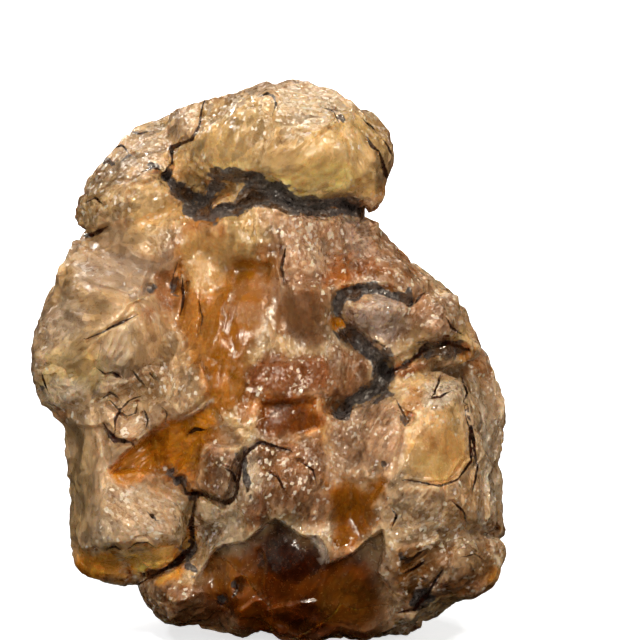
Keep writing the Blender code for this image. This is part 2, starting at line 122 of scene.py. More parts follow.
# Flat faces of the growth: outline on the face, mm raised at the middle, slopes to the right and up.
FACES = {
    "cap_crown": ([(283, 92), (330, 90), (342, 118), (312, 134), (279, 122)], 0.02, 0.04, -0.21),
    "cap_left": ([(206, 122), (262, 98), (277, 150), (262, 177), (222, 174), (200, 158)],
                 0.03, -0.13, 0.00),
    "cap_front": ([(277, 128), (338, 120), (346, 168), (318, 190), (282, 176)], 0.06, 0.07, 0.08),
    "cap_end": ([(342, 104), (386, 128), (394, 160), (376, 184), (348, 164)], 0.01, -0.24, 0.00),
    "brow": ([(163, 130), (198, 108), (204, 128), (190, 141), (168, 148)], 0.04, 0.14, -0.14),
    "shoulder_top": ([(106, 146), (160, 122), (168, 165), (140, 182), (98, 176)], 0.02, 0.07, -0.17),
    "shoulder_side": ([(78, 190), (130, 182), (122, 226), (80, 224)], 0.03, 0.21, 0.00),
    "pale_patch": ([(130, 190), (164, 186), (174, 236), (152, 256), (126, 238)], 0.01, -0.07, 0.07),
    "fan_upper": ([(140, 300), (150, 254), (100, 246), (62, 270)], 0.04, 0.07, -0.17),
    "fan_outer": ([(140, 300), (58, 276), (42, 322), (66, 334)], 0.01, 0.21, -0.04),
    "fan_middle": ([(140, 300), (62, 336), (48, 372), (90, 350)], 0.04, 0.14, 0.07),
    "fan_lower": ([(140, 302), (90, 350), (98, 396), (126, 380)], -0.01, 0.21, 0.07),
    "fan_inner": ([(140, 302), (128, 380), (190, 376), (184, 318)], 0.03, -0.10, 0.07),
    "glow": ([(188, 236), (224, 232), (230, 288), (202, 296), (184, 262)], -0.03, -0.07, 0.05),
    "tan_plate": ([(225, 206), (262, 210), (262, 258), (230, 256)], 0.04, -0.10, 0.03),
    "glitter": ([(280, 216), (344, 220), (340, 262), (312, 276), (283, 262)], 0.04, 0.08, -0.10),
    "mauve": ([(287, 284), (328, 288), (328, 336), (304, 354), (282, 332)], 0.06, 0.14, 0.07),
    "trough_wall": ([(236, 262), (278, 256), (270, 330), (248, 372), (228, 330)], -0.01, 0.14, 0.00),
    "mid_slab": ([(252, 360), (322, 362), (330, 392), (294, 404), (252, 398)], 0.06, 0.04, 0.10),
    "pocket": ([(265, 404), (318, 400), (318, 428), (288, 442), (264, 438)], -0.11, -0.07, -0.14),
    "shoulder_panel": ([(347, 220), (373, 218), (380, 256), (352, 264)], 0.04, -0.21, 0.00),
    "shoulder_slope": ([(378, 232), (424, 266), (402, 284), (374, 262)], 0.02, -0.14, -0.14),
    "seam_block": ([(350, 306), (396, 302), (412, 326), (386, 346), (356, 330)], 0.10, -0.10, -0.07),
    "seam_block_low": ([(328, 346), (364, 360), (374, 384), (346, 394), (324, 378)], 0.08, 0.10, 0.07),
    "lump_face": ([(406, 300), (440, 286), (454, 300), (440, 334), (414, 328)], 0.03, 0.10, -0.10),
    "lump_side": ([(442, 334), (456, 300), (474, 328), (466, 344)], 0.01, -0.21, 0.07),
    "frost_plate": ([(336, 402), (394, 394), (402, 440), (386, 478), (338, 470), (322, 440)],
                    0.07, 0.08, 0.04),
    "white_patch": ([(420, 384), (456, 388), (456, 410), (425, 412)], 0.06, -0.07, -0.17),
    "window": ([(404, 418), (463, 410), (469, 456), (444, 480), (406, 477)], -0.05, -0.07, 0.07),
    "striped_face": ([(386, 482), (440, 486), (440, 524), (400, 540), (378, 518)], 0.04, 0.14, 0.07),
    "outer_face": ([(446, 484), (480, 470), (482, 508), (462, 540), (442, 524)], 0.04, -0.21, 0.04),
    "amber_zone": ([(325, 480), (378, 482), (380, 520), (352, 546), (326, 538)], -0.06, -0.07, 0.10),
    "heel_face": ([(400, 546), (440, 532), (454, 560), (426, 598), (396, 588)], 0.04, 0.07, 0.21),
    "heel_outer": ([(460, 546), (500, 542), (498, 572), (470, 596), (446, 584)], 0.02, -0.17, 0.17),
    "sill_left": ([(214, 452), (262, 446), (262, 478), (238, 500), (212, 498)], 0.04, -0.07, 0.00),
    "sill_right": ([(264, 446), (318, 442), (328, 480), (300, 512), (264, 500)], 0.06, 0.07, 0.07),
    "sill_wedge": ([(240, 502), (262, 482), (266, 528), (242, 538)], 0.07, 0.14, 0.00),
    "pale_tongue": ([(196, 502), (238, 506), (236, 544), (202, 548)], 0.01, -0.17, 0.04),
    "tooth": ([(202, 442), (241, 450), (234, 494), (226, 502), (206, 494), (195, 480)],
              0.17, -0.07, 0.15),
    "crack_plate": ([(106, 384), (204, 362), (214, 396), (130, 446), (102, 466)], 0.10, 0.04, 0.04),
    "amber_plane": ([(216, 398), (232, 388), (216, 412), (190, 474), (112, 471), (130, 448)],
                    -0.09, 0.07, 0.19),
    "column_outer": ([(68, 432), (90, 430), (93, 520), (71, 532)], 0.01, 0.21, 0.00),
    "column_inner": ([(91, 430), (104, 468), (110, 500), (94, 520)], 0.04, -0.10, 0.00),
    "knob": ([(104, 504), (150, 498), (188, 506), (184, 534), (150, 548), (104, 544)], 0.07, -0.04, -0.14),
    "foot_under": ([(74, 548), (124, 550), (124, 582), (94, 579)], -0.05, 0.08, 0.44),
    "foot_wedge": ([(128, 548), (184, 546), (170, 566), (142, 580)], -0.08, -0.08, 0.40),
    "heel_top": ([(150, 582), (196, 574), (208, 598), (172, 606)], 0.04, -0.04, -0.14),
    "cavity_left": ([(214, 560), (262, 548), (262, 600), (226, 618)], -0.05, -0.12, 0.10),
    "cavity_mid": ([(264, 540), (322, 556), (316, 600), (264, 612)], -0.05, 0.01, 0.09),
    "cavity_right": ([(324, 562), (376, 556), (388, 592), (372, 628), (322, 620)], -0.02, 0.06, 0.06),
}

# Open seams and cracks: line on the face, width in grid steps, depth in mm.
SEAMS = {
    "under_cap": ([(163, 175), (172, 186), (184, 194), (197, 199), (207, 200), (213, 190), (222, 183),
                   (238, 180), (256, 182), (272, 186), (284, 195), (298, 203), (320, 205), (338, 202),
                   (354, 204), (368, 209)], 13, 0.24),
    "under_cap_low": ([(200, 203), (208, 214), (214, 216), (224, 209), (240, 208), (256, 200), (276, 204),
                       (298, 211), (330, 213), (362, 214)], 13, 0.22),
    "brow": ([(205, 103), (200, 126), (192, 140), (172, 147), (173, 163), (163, 176)], 6, 0.12),
    "loop_top": ([(335, 308), (337, 298), (348, 291), (364, 288), (380, 292), (395, 297), (410, 303)],
                 11, 0.16),
    "loop_side": ([(339, 322), (350, 333), (362, 343), (375, 356), (385, 370)], 18, 0.24),
    "loop_foot": ([(385, 372), (378, 384), (365, 393), (352, 399), (341, 407)], 14, 0.22),
    "loop_right": ([(388, 372), (402, 366), (414, 356), (426, 346), (448, 343), (468, 350)], 12, 0.20),
    "left_notch": ([(72, 232), (90, 235), (106, 228)], 8, 0.14),
    "bulge_crack": ([(88, 339), (112, 327), (137, 315)], 4, 0.06),
    "plate_crack": ([(105, 425), (115, 440), (132, 442)], 6, 0.10),
    "tooth_edge": ([(181, 479), (186, 494), (204, 492), (226, 503), (236, 496), (240, 470), (244, 452)],
                   7, 0.16),
    "foot_crack": ([(196, 494), (194, 510), (192, 530), (192, 546), (180, 560), (160, 573), (141, 584)],
                   8, 0.18),
    "window_edge": ([(463, 405), (469, 432), (470, 460), (456, 478), (438, 484), (405, 479)], 4, 0.06),
    "heel_crack": ([(442, 570), (430, 590), (415, 608), (398, 612)], 6, 0.12),
    "glint_crack": ([(286, 248), (282, 268), (284, 284)], 4, 0.07),
    "spot_crack": ([(183, 280), (184, 296), (182, 314)], 4, 0.07),
    "mid_crack": ([(240, 462), (250, 450), (262, 442), (290, 450)], 5, 0.08),
}

# Hair cracks and dirt-filled nicks, finer than the part's solid can hold.
CRACKS = [
    ([(262, 97), (268, 94), (274, 98), (276, 106), (273, 114)], 4, 0.07),
    ([(366, 138), (371, 147), (377, 152)], 4, 0.04),
    ([(378, 152), (383, 164), (388, 178), (390, 182)], 5, 0.06),
    ([(382, 140), (388, 148), (393, 158)], 4, 0.04),
    ([(362, 120), (371, 128), (376, 134)], 4, 0.04),
    ([(322, 108), (333, 112), (338, 124)], 2.5, 0.03),
    ([(112, 148), (122, 144), (128, 152)], 4, 0.05),
    ([(146, 172), (153, 168), (160, 171)], 4, 0.05),
    ([(128, 128), (138, 134), (150, 132)], 3, 0.04),
    ([(86, 204), (96, 198), (104, 206)], 3, 0.04),
    ([(98, 367), (106, 373), (114, 371), (122, 376)], 4, 0.05),
    ([(134, 370), (140, 378), (146, 386)], 4, 0.05),
    ([(42, 372), (46, 382), (50, 391)], 4, 0.05),
    ([(150, 372), (156, 380)], 3, 0.04),
    ([(116, 432), (116, 420), (121, 411), (112, 402)], 4.5, 0.07),
    ([(121, 411), (127, 417), (136, 413), (138, 405)], 3, 0.05),
    ([(145, 410), (148, 419), (146, 428)], 4.5, 0.07),
    ([(164, 409), (168, 414), (166, 421)], 3.5, 0.05),
    ([(104, 398), (112, 393), (119, 398)], 4, 0.05),
    ([(121, 411), (130, 400), (142, 396)], 3, 0.04),
    ([(132, 442), (136, 447)], 5, 0.06),
    ([(189, 433), (196, 428), (206, 429)], 5, 0.06),
    ([(106, 548), (114, 545), (122, 549)], 4, 0.05),
    ([(128, 548), (136, 542), (148, 541), (156, 547)], 3, 0.04),
    ([(150, 513), (158, 518)], 5, 0.04),
    ([(268, 470), (278, 476), (284, 488)], 3, 0.04),
    ([(300, 462), (312, 470), (316, 484)], 3, 0.04),
    ([(222, 466), (232, 472), (236, 482)], 3, 0.04),
    ([(440, 376), (436, 386), (432, 396)], 3.5, 0.05),
    ([(462, 378), (466, 392), (462, 402)], 4.5, 0.07),
    ([(428, 398), (440, 396), (450, 392)], 3, 0.04),
    ([(396, 400), (402, 412), (408, 420)], 4, 0.05),
    ([(466, 400), (473, 440), (476, 470), (470, 492)], 4, 0.06),
    ([(406, 560), (414, 556), (424, 548)], 4, 0.05),
    ([(404, 572), (414, 568), (424, 560)], 4, 0.05),
    ([(452, 500), (462, 510), (466, 522)], 3, 0.04),
    ([(462, 556), (474, 552), (486, 560)], 3, 0.04),
    ([(424, 292), (414, 304)], 3, 0.04),
    ([(446, 318), (452, 328), (462, 334)], 4, 0.05),
    ([(237, 583), (238, 590), (233, 598)], 4, 0.04),
    ([(216, 600), (221, 604), (226, 603)], 4, 0.04),
    ([(390, 506), (396, 514), (392, 526)], 3, 0.04),
    ([(178, 264), (174, 276), (172, 292)], 3, 0.05),
    ([(200, 300), (204, 318), (200, 336)], 2.5, 0.03),
]

# Ledges: the surface drops off on the right of the line as it runs, by mm, and comes back over a reach.
LEDGES = {
    "plate_rim": ([(102, 470), (130, 447), (175, 419), (216, 394)], 0.20, 90),
    "skin_rim": ([(190, 592), (210, 558), (221, 545), (240, 541), (262, 528), (276, 518), (297, 529),
                  (309, 530), (320, 544), (325, 557), (356, 549), (371, 532), (384, 530), (389, 546),
                  (380, 566), (391, 587), (394, 607), (380, 640)], 0.34, 150),
    "trough_side": ([(238, 404), (262, 362), (276, 328), (283, 288), (287, 246)], 0.07, 80),
    "outer_rim": ([(500, 566), (479, 522), (484, 500), (486, 460), (481, 396), (470, 372)], 0.28, 60),
    "column_step": ([(60, 422), (84, 428), (104, 424)], 0.16, 60),
    "foot_rim": ([(70, 546), (104, 548), (150, 550), (186, 540)], 0.18, 60),
    "lip": ([(290, 186), (330, 194), (372, 200)], 0.06, 30),
}

# Small pits: column, row, radius in grid steps, depth in mm.
PITS = [
    (339, 404, 13, 0.34), (147, 289, 7, 0.16), (463, 350, 11, 0.22), (404, 418, 7, 0.14),
    (125, 150, 6, 0.10), (110, 164, 5, 0.08), (153, 171, 6, 0.10), (335, 118, 5, 0.08),
    (238, 590, 8, 0.14), (408, 560, 7, 0.12), (46, 382, 6, 0.10), (222, 603, 6, 0.10),
    (118, 371, 6, 0.09), (176, 290, 8, 0.10), (372, 470, 6, 0.08), (300, 466, 6, 0.07),
]

# Low crystal points cover the stone, lower on the face: mm from point to point, how steep they are.
CRYSTALS = ((1.30, 0.42), (0.55, 0.34))
# Finer ones than the part holds, all round.
FINE_CRYSTALS = ((0.27, 0.32), (0.13, 0.36))
# The relief strays from its drawn lines: mm between bends, mm of reach, seed.
STRAYS = ((0.62, 0.085, 21), (0.26, 0.035, 23))

# Growth lines: centre, half width and half height of the patch, direction in degrees up from the right,
# mm between the lines, mm high.
GROWTH = [
    ((308, 110, 32, 20), 5, 0.075, 0.016),
    ((236, 140, 34, 30), 70, 0.10, 0.010),
    ((300, 155, 34, 26), 38, 0.09, 0.010),
    ((374, 150, 22, 34), -58, 0.10, 0.016),
    ((125, 170, 40, 36), 35, 0.12, 0.010),
    ((100, 262, 42, 20), 152, 0.10, 0.024),
    ((70, 305, 36, 26), 182, 0.10, 0.024),
    ((76, 350, 40, 26), 214, 0.10, 0.024),
    ((114, 358, 22, 34), 246, 0.09, 0.024),
    ((160, 345, 28, 40), 292, 0.09, 0.020),
    ((82, 475, 24, 60), 88, 0.11, 0.010),
    ((140, 505, 46, 20), -35, 0.11, 0.022),
    ((165, 448, 60, 34), 34, 0.08, 0.026),
    ((210, 330, 40, 80), 78, 0.12, 0.010),
    ((312, 245, 34, 32), 84, 0.10, 0.018),
    ((304, 316, 26, 34), 100, 0.14, 0.008),
    ((360, 238, 24, 26), 96, 0.08, 0.018),
    ((405, 262, 30, 24), -40, 0.12, 0.010),
    ((348, 370, 24, 26), 74, 0.08, 0.018),
    ((435, 315, 30, 28), 50, 0.10, 0.012),
    ((362, 435, 40, 40), 55, 0.11, 0.014),
    ((418, 498, 30, 24), 48, 0.09, 0.022),
    ((285, 475, 50, 34), 62, 0.11, 0.012),
    ((252, 508, 16, 26), 72, 0.08, 0.016),
    ((474, 440, 14, 70), 86, 0.08, 0.014),
    ((222, 575, 34, 30), 62, 0.10, 0.020),
    ((352, 590, 40, 34), 56, 0.14, 0.014),
    ((430, 560, 30, 40), 30, 0.12, 0.012),
    ((218, 470, 20, 28), 80, 0.09, 0.016),
    ((180, 600, 36, 24), 40, 0.11, 0.012),
]

# Colours, as display values out of 255.
PALETTE = {
    "honey": (190, 155, 102),
    "gold": (210, 132, 22),
    "pale_gold": (208, 168, 104),
    "amber": (154, 92, 6),
    "orange": (156, 82, 12),
    "cognac": (134, 74, 16),
    "taupe": (178, 147, 113),
    "rose": (158, 120, 90),
    "mauve": (130, 88, 56),
    "frost": (206, 182, 154),
    "pewter": (166, 144, 132),
    "white": (228, 214, 196),
    "rust": (142, 74, 8),
    "olive": (118, 70, 14),
    "brown": (112, 52, 8),
    "dark": (54, 13, 0),
    "graphite": (72, 68, 68),
    "soot": (72, 44, 22),
    "ash": (142, 134, 128),
    "black": (22, 17, 14),
    # gold brightened as painted light, laid on faces that turn down into shade
    "lit_gold": (252, 220, 138),
}

# Colour patches, laid on in this order: centre, half width and half height in grid steps, roll in degrees,
# colour, how fully it covers.
PATCHES = [
    # the cap
    ((275, 150, 120, 62), 0, "honey", 1.0),
    ((290, 84, 110, 16), 0, "taupe", 0.7),
    ((232, 150, 30, 30), 0, "honey", 0.9),
    ((268, 140, 30, 24), 20, "rose", 0.25),
    # the cap's top: its frosted skin, painted paler and white as a painted highlight where light catches it
    ((308, 106, 32, 16), 0, "white", 0.3),
    ((300, 130, 26, 14), 20, "frost", 0.6),
    # the cap's underside and lip: their own gold, brightened as painted light where the overhang lies in
    # shade
    ((322, 170, 44, 16), 0, "pale_gold", 0.6),
    ((322, 183, 62, 19), 4, "lit_gold", 0.95),
    ((240, 176, 30, 9), 0, "lit_gold", 0.5),
    ((345, 140, 22, 24), 0, "pale_gold", 0.45),
    ((376, 148, 20, 34), -20, "cognac", 0.2),
    ((368, 188, 20, 14), 20, "pale_gold", 0.8),
    ((192, 122, 20, 18), 0, "taupe", 0.9),
    # the shoulder
    ((120, 175, 56, 56), 0, "taupe", 1.0),
    ((150, 205, 24, 30), 0, "pale_gold", 0.5),
    ((190, 205, 20, 26), -40, "honey", 0.7),
    ((90, 215, 22, 24), 0, "honey", 0.5),
    # the left bulge
    ((105, 320, 86, 90), 0, "taupe", 0.9),
    ((95, 295, 56, 40), 0, "honey", 0.65),
    ((72, 318, 22, 20), 30, "frost", 0.7),
    ((56, 350, 18, 34), 0, "frost", 0.35),
    # the lower bulge's honey gold, brightened as painted light where it turns down
    ((76, 368, 40, 34), 30, "lit_gold", 0.5),
    ((84, 352, 26, 16), 30, "gold", 0.25),
    ((66, 388, 28, 18), 0, "frost", 0.9),
    ((158, 345, 28, 42), 0, "honey", 0.7),
    ((164, 296, 20, 26), 0, "rust", 0.75),
    # the trough and the middle
    ((215, 290, 44, 92), 0, "amber", 0.9),
    ((206, 262, 22, 32), 0, "honey", 0.75),
    ((238, 240, 20, 30), 0, "honey", 0.8),
    ((246, 300, 26, 50), 8, "amber", 0.9),
    ((228, 372, 26, 44), -8, "amber", 0.95),
    ((300, 300, 32, 52), 0, "mauve", 0.9),
    ((312, 244, 36, 32), 0, "rose", 0.95),
    ((316, 258, 16, 14), 0, "frost", 0.5),
    ((285, 292, 12, 18), 0, "rose", 0.6),
    ((292, 378, 46, 24), 0, "mauve", 0.9),
    ((276, 370, 16, 12), 0, "rose", 0.2),
    ((292, 420, 32, 22), 0, "orange", 0.95),
    ((258, 398, 16, 22), 0, "orange", 0.7),
    ((326, 400, 14, 26), 0, "orange", 0.6),
    ((266, 440, 8, 8), 0, "frost", 0.7),
    ((342, 319, 10, 11), 0, "gold", 1.0),
    ((411, 361, 18, 11), 20, "olive", 1.0),
    # the right shoulder and the lump
    ((378, 258, 48, 42), -35, "mauve", 0.85),
    ((358, 236, 18, 22), 0, "rose", 0.8),
    ((350, 268, 34, 14), 0, "rust", 0.85),
    ((392, 280, 26, 12), -20, "cognac", 0.7),
    ((434, 312, 38, 36), 0, "rose", 0.9),
    ((436, 294, 8, 10), 0, "pale_gold", 0.9),
    ((418, 330, 14, 14), 0, "honey", 0.7),
    ((452, 330, 12, 10), 0, "brown", 0.5),
    ((379, 324, 32, 22), -10, "rose", 0.9),
    ((384, 316, 24, 14), 0, "frost", 0.7),
    ((346, 370, 22, 24), 0, "mauve", 0.95),
    ((404, 364, 16, 10), 20, "rust", 0.8),
    # the lower right block
    ((420, 470, 90, 96), 0, "taupe", 0.85),
    ((364, 434, 42, 40), 0, "rose", 0.8),
    ((352, 420, 18, 16), 0, "frost", 0.5),
    ((438, 396, 24, 16), 0, "frost", 0.8),
    ((408, 400, 10, 16), 0, "amber", 0.6),
    ((436, 446, 32, 34), 0, "gold", 0.5),
    ((432, 462, 18, 12), 0, "pale_gold", 0.9),
    ((420, 440, 10, 14), 0, "pale_gold", 0.6),
    ((478, 430, 14, 60), 0, "taupe", 0.8),
    ((350, 503, 30, 30), 20, "amber", 0.85),
    ((350, 512, 20, 16), 0, "orange", 0.5),
    ((420, 505, 34, 24), 0, "taupe", 0.8),
    ((462, 540, 44, 46), 0, "taupe", 0.8),
    ((414, 580, 28, 24), 0, "olive", 0.7),
    ((470, 590, 40, 20), 10, "brown", 0.6),
    ((498, 440, 16, 90), 0, "frost", 0.55),
    ((494, 540, 12, 30), 0, "mauve", 0.5),
    # the sill and the tooth
    ((285, 478, 66, 42), 0, "rose", 0.85),
    ((300, 505, 44, 18), 0, "cognac", 0.35),
    ((240, 476, 26, 20), 0, "frost", 0.6),
    ((252, 508, 12, 24), 10, "rose", 0.75),
    ((248, 500, 7, 18), 14, "frost", 0.6),
    ((216, 526, 26, 26), 0, "taupe", 0.6),
    ((300, 500, 30, 20), 0, "rose", 0.25),
    ((218, 472, 22, 30), 0, "mauve", 0.95),
    ((208, 462, 12, 22), 10, "cognac", 0.7),
    # the crack plate, the amber plane, the column and the foot
    ((90, 470, 34, 80), 0, "taupe", 0.9),
    ((155, 405, 56, 36), 30, "rose", 0.75),
    ((150, 392, 40, 20), 20, "honey", 0.5),
    ((165, 448, 62, 24), 30, "gold", 1.0),
    ((180, 462, 40, 10), 32, "orange", 0.5),
    ((194, 438, 24, 32), 20, "amber", 1.0),
    ((180, 482, 30, 16), 0, "amber", 0.7),
    ((140, 508, 52, 30), 0, "taupe", 0.8),
    ((150, 506, 36, 16), -20, "frost", 0.5),
    # the knob's top: whitish frosted skin, with a painted highlight where it is lit
    ((138, 530, 46, 12), 0, "white", 0.35),
    ((95, 562, 32, 18), 0, "gold", 0.9),
    ((84, 566, 14, 10), 20, "brown", 0.5),
    ((156, 562, 34, 16), 15, "gold", 0.95),
    ((124, 562, 6, 18), 0, "frost", 0.8),
    ((178, 600, 36, 26), 0, "mauve", 0.8),
    ((190, 590, 14, 12), 0, "frost", 0.4),
]

# The same in the glassy hollow underneath, which fades out between two places to the right, in mm.
HOLLOW_END = (1.40, 1.85)
HOLLOW_PATCHES = [
    ((290, 590, 100, 56), 0, "brown", 1.0),
    ((232, 580, 32, 34), 20, "cognac", 0.9),
    ((222, 572, 18, 26), 30, "amber", 0.5),
    ((292, 556, 44, 30), 0, "dark", 0.95),
    # painted glow: orange where light shines through the glassy hollow
    ((262, 618, 34, 16), 10, "orange", 0.8),
    ((326, 582, 46, 8), 18, "orange", 0.6),
    ((352, 600, 36, 24), 0, "olive", 0.8),
    ((312, 616, 26, 18), 0, "dark", 0.7),
    ((375, 640, 60, 16), 0, "brown", 0.6),
]

# Faces with a colour of their own, up to their edges: the face, its colour and how fully it covers.
TINTS = [
    ("cap_left", "honey", 0.4), ("cap_front", "honey", 0.4), ("cap_crown", "honey", 0.1),
    ("cap_end", "honey", 0.4), ("brow", "taupe", 0.5), ("shoulder_top", "taupe", 0.65),
    ("shoulder_side", "honey", 0.3), ("pale_patch", "honey", 0.45), ("fan_upper", "taupe", 0.6),
    ("fan_outer", "rose", 0.35), ("fan_middle", "taupe", 0.5), ("fan_lower", "frost", 0.5),
    ("fan_inner", "rose", 0.45), ("glow", "honey", 0.25), ("tan_plate", "honey", 0.6),
    ("glitter", "rose", 0.5), ("mauve", "mauve", 0.75), ("trough_wall", "amber", 0.4),
    ("mid_slab", "olive", 0.5), ("pocket", "cognac", 0.85), ("shoulder_panel", "rose", 0.55),
    ("seam_block", "rose", 0.3), ("seam_block_low", "mauve", 0.8), ("lump_face", "mauve", 0.7),
    ("frost_plate", "rose", 0.55), ("white_patch", "white", 0.2), ("window", "pale_gold", 0.4),
    ("striped_face", "taupe", 0.6), ("amber_zone", "amber", 0.95), ("heel_face", "olive", 0.75),
    ("heel_outer", "olive", 0.45), ("sill_left", "frost", 0.65), ("sill_right", "mauve", 0.85),
    ("sill_wedge", "mauve", 0.7), ("pale_tongue", "frost", 0.6), ("tooth", "mauve", 0.6),
    ("crack_plate", "taupe", 0.5), ("amber_plane", "gold", 0.85), ("column_outer", "honey", 0.4),
    ("knob", "taupe", 0.45), ("foot_under", "gold", 0.8), ("foot_wedge", "gold", 0.9),
    ("heel_top", "olive", 0.6), ("pocket", "brown", 0.6), ("outer_face", "gold", 0.2),
    ("mid_slab", "mauve", 0.85), ("mid_slab", "brown", 0.55), ("sill_right", "brown", 0.1),
    ("sill_wedge", "brown", 0.45), ("tooth", "brown", 0.2), ("heel_top", "brown", 0.3),
    ("amber_zone", "brown", 0.25),
    ("seam_block", "pewter", 0.8), ("shoulder_panel", "pewter", 0.4), ("fan_upper", "pewter", 0.4),
    # the foot's down-turned faces get gold brightened as painted light
    ("glow", "amber", 0.2), ("foot_wedge", "lit_gold", 0.5), ("foot_under", "lit_gold", 0.15),
]

# Seams that hold dark film over their whole width; the others show as dark lines.
FILMED = ("under_cap", "under_cap_low", "loop_top", "loop_side", "loop_foot")

# Painted highlights: edges painted white where light catches them. A ledge's name, the width of the edge
# in grid steps and how many of the ledge's points it runs along.
PAINTED_EDGE_HIGHLIGHTS = (("plate_rim", 4, 4), ("skin_rim", 4, 11), ("outer_rim", 4, 6))

# Bare spots in the film: centre, half width and half height, roll.
BARE = [((342, 319, 8, 9), 0), ((411, 361, 15, 8), 20), ((371, 208, 6, 6), 0), ((232, 198, 6, 5), 0)]

# Where dark granular film fills the open seams: centre, half width and half height, roll.
FILMS = [
    ((167, 181, 7, 9), -30), ((184, 194, 14, 6), -25), ((205, 204, 13, 11), 0), ((213, 217, 9, 8), 0),
    ((232, 183, 20, 6), 8), ((268, 195, 26, 15), -8), ((296, 206, 18, 8), 0), ((322, 210, 26, 7), 0),
    ((350, 209, 22, 7), 0), ((236, 209, 18, 4), 0), ((344, 300, 10, 10), 40), ((363, 290, 22, 7), 0),
    ((396, 297, 18, 4), -10), ((349, 332, 12, 8), -45), ((366, 350, 14, 10), -40), ((384, 368, 13, 17), 0),
    ((366, 390, 20, 8), 20), ((345, 404, 10, 7), 30), ((430, 347, 14, 6), 10), ((456, 349, 14, 9), 0),
    ((178, 482, 6, 9), 0), ((193, 500, 8, 7), 0), ((190, 552, 7, 14), 0), ((243, 470, 5, 22), 0),
    ((426, 594, 9, 16), -30), ((340, 412, 10, 8), 0),
]

# Where the skin is glassy and lets light through: centre, half sizes, roll, how clear.
CLEAR = [
    ((290, 588, 100, 54), 0, 0.9),
    ((232, 578, 34, 36), 0, 0.8),
    ((292, 420, 32, 22), 0, 0.6),
    ((228, 372, 26, 44), -8, 0.35),
    ((215, 300, 40, 80), 0, 0.40),
    ((165, 448, 60, 24), 30, 0.70),
    ((436, 448, 32, 34), 0, 0.6),
    ((95, 562, 30, 18), 0, 0.45),
    ((156, 562, 32, 16), 15, 0.4),
    ((350, 508, 36, 30), 20, 0.6),
    ((322, 170, 40, 20), 0, 0.4),
    ((232, 150, 30, 30), 0, 0.5),
    ((304, 318, 26, 36), 0, 0.55),
    ((164, 296, 18, 24), 0, 0.5),
    ((250, 304, 34, 60), 0, 0.60),
    ((352, 600, 40, 28), 0, 0.7),
]

# Where the skin glints most: centre, half sizes, roll.
GLINTS = [
    ((306, 120, 40, 32), 20), ((312, 240, 34, 32), 0), ((384, 316, 30, 18), -10), ((145, 514, 46, 24), -20),
    ((438, 398, 24, 16), 0), ((240, 474, 26, 20), 0), ((222, 130, 24, 22), 0), ((344, 428, 26, 30), 0),
    ((282, 470, 40, 26), 0), ((155, 385, 40, 22), 20), ((335, 540, 30, 14), 30), ((208, 530, 26, 20), 0),
    ((430, 520, 40, 26), 0), ((100, 190, 40, 36), 0),
]

# Where the skin is waxy and doesn't glint: centre, half sizes, roll.
WAXY = [
    ((108, 300, 80, 84), 0), ((254, 306, 32, 52), 0), ((212, 250, 26, 40), 0), ((436, 448, 28, 30), 0),
    ((80, 480, 30, 64), 0), ((318, 166, 58, 22), 5), ((376, 165, 20, 26), 0),
]

# Noises over the whole stone: mm across, seed, layers.
NOISES = {
    "frosted": (0.9, 3, 4),
    "warp_right": (0.55, 60, 4),
    "warp_up": (0.55, 70, 4),
    "broad": (1.6, 80, 3),
    "cognac": (1.1, 90, 3),
    "clear": (1.3, 100, 3),
    "speck": (0.16, 110, 3),
    "shade": (0.5, 120, 2),
    "striae": (0.4, 130, 2),
    "glints": (1.2, 140, 3),
    "gold": (1.2, 150, 2),
    "rose": (0.8, 160, 2),
}
LUMP_SEED, CRYSTAL_SEED = 11, 5
GROWTH_SEED = 40  # of the first growth patch

# Colours in the stone's own skin, by the noise of that name: where they start and are full, how much.
GROUND = (("cognac", 0.15, 0.7, 0.8), ("gold", 0.30, 0.6, 0.7), ("rose", 0.20, 0.6, 0.7))

# How far noise moves the edges of colours, in mm.
PATCH_WARP, TINT_WARP, FILM_WARP, CRACK_WARP = 0.16, 0.14, 0.03, 0.02

# Streaks along the growth lines.
PLAIN_DIRECTION = 70.0  # degrees up from the right, where no growth patch is near
FULL_HEIGHT = 0.018  # mm, the height of growth lines that are fully streaked
STREAK_LENGTH = 9  # widths of a streak

# How fine the material's noises and cells are: over the stone per metre, along the grain per mm.
GRIT, ETCH, CLOUD, WOBBLE, GRAINS = 14000.0, 11000.0, 2600.0, 5000.0, 24000.0
LINES, PLATES, FLAKES, SPLINTERS = 17.0, 4.5, 10.0, 24.0

# The stuff itself.
DIAMOND_IOR = 2.42
INSIDE_COLOUR = (0.93, 0.52, 0.16, 1.0)
INSIDE_DENSITY = 420.0  # per metre
GLOSS_LEVEL = 0.28
GLOSS_TINT = (1.0, 0.93, 0.82, 1.0)
BLEED = (1.0, 0.65, 0.30)  # how far red, green and blue spread under the skin, as shares of BLEED_REACH
BLEED_REACH = 0.0003  # metres
LINE_BUMP = 0.00003  # metres


def on_grid(line):
    """Grid points as millimetres across and up the face."""
    return (np.array(line, float) - MIDDLE) * (STEP, -STEP)


def soft_step(value, start, end):
    t = np.clip((value - start) / (end - start), 0, 1)
    return t * t * (3 - 2 * t)


def lump(bm, centre, half_sizes, roll, rng):
    """One lump: a ball of flat facets, swollen here and there and drawn out to its half sizes."""
    made = bmesh.ops.create_icosphere(bm, subdivisions=3, radius=1.0)["verts"]
    half_width, half_height, half_depth = half_sizes
    turn = Euler((0, math.radians(roll), 0)).to_matrix()
    across, up = on_grid([centre[:2]])[0]
    middle = Vector((across, -centre[2], up))
    knobs = [(Vector(rng.normal(size=3)).normalized(), rng.uniform(-0.09, 0.09)) for _ in range(7)]
    for v in made:
        swell = 1 + sum(size * max(0, v.co.dot(knob)) ** 4 for knob, size in knobs)
        sized = Vector((v.co.x * half_width, v.co.y * half_depth, v.co.z * half_height))
        v.co = middle + turn @ (sized * swell)


def linked(name, data):
    """A new object of the scene that holds the data."""
    made = bpy.data.objects.new(name, data)
    bpy.context.scene.collection.objects.link(made)
    return made


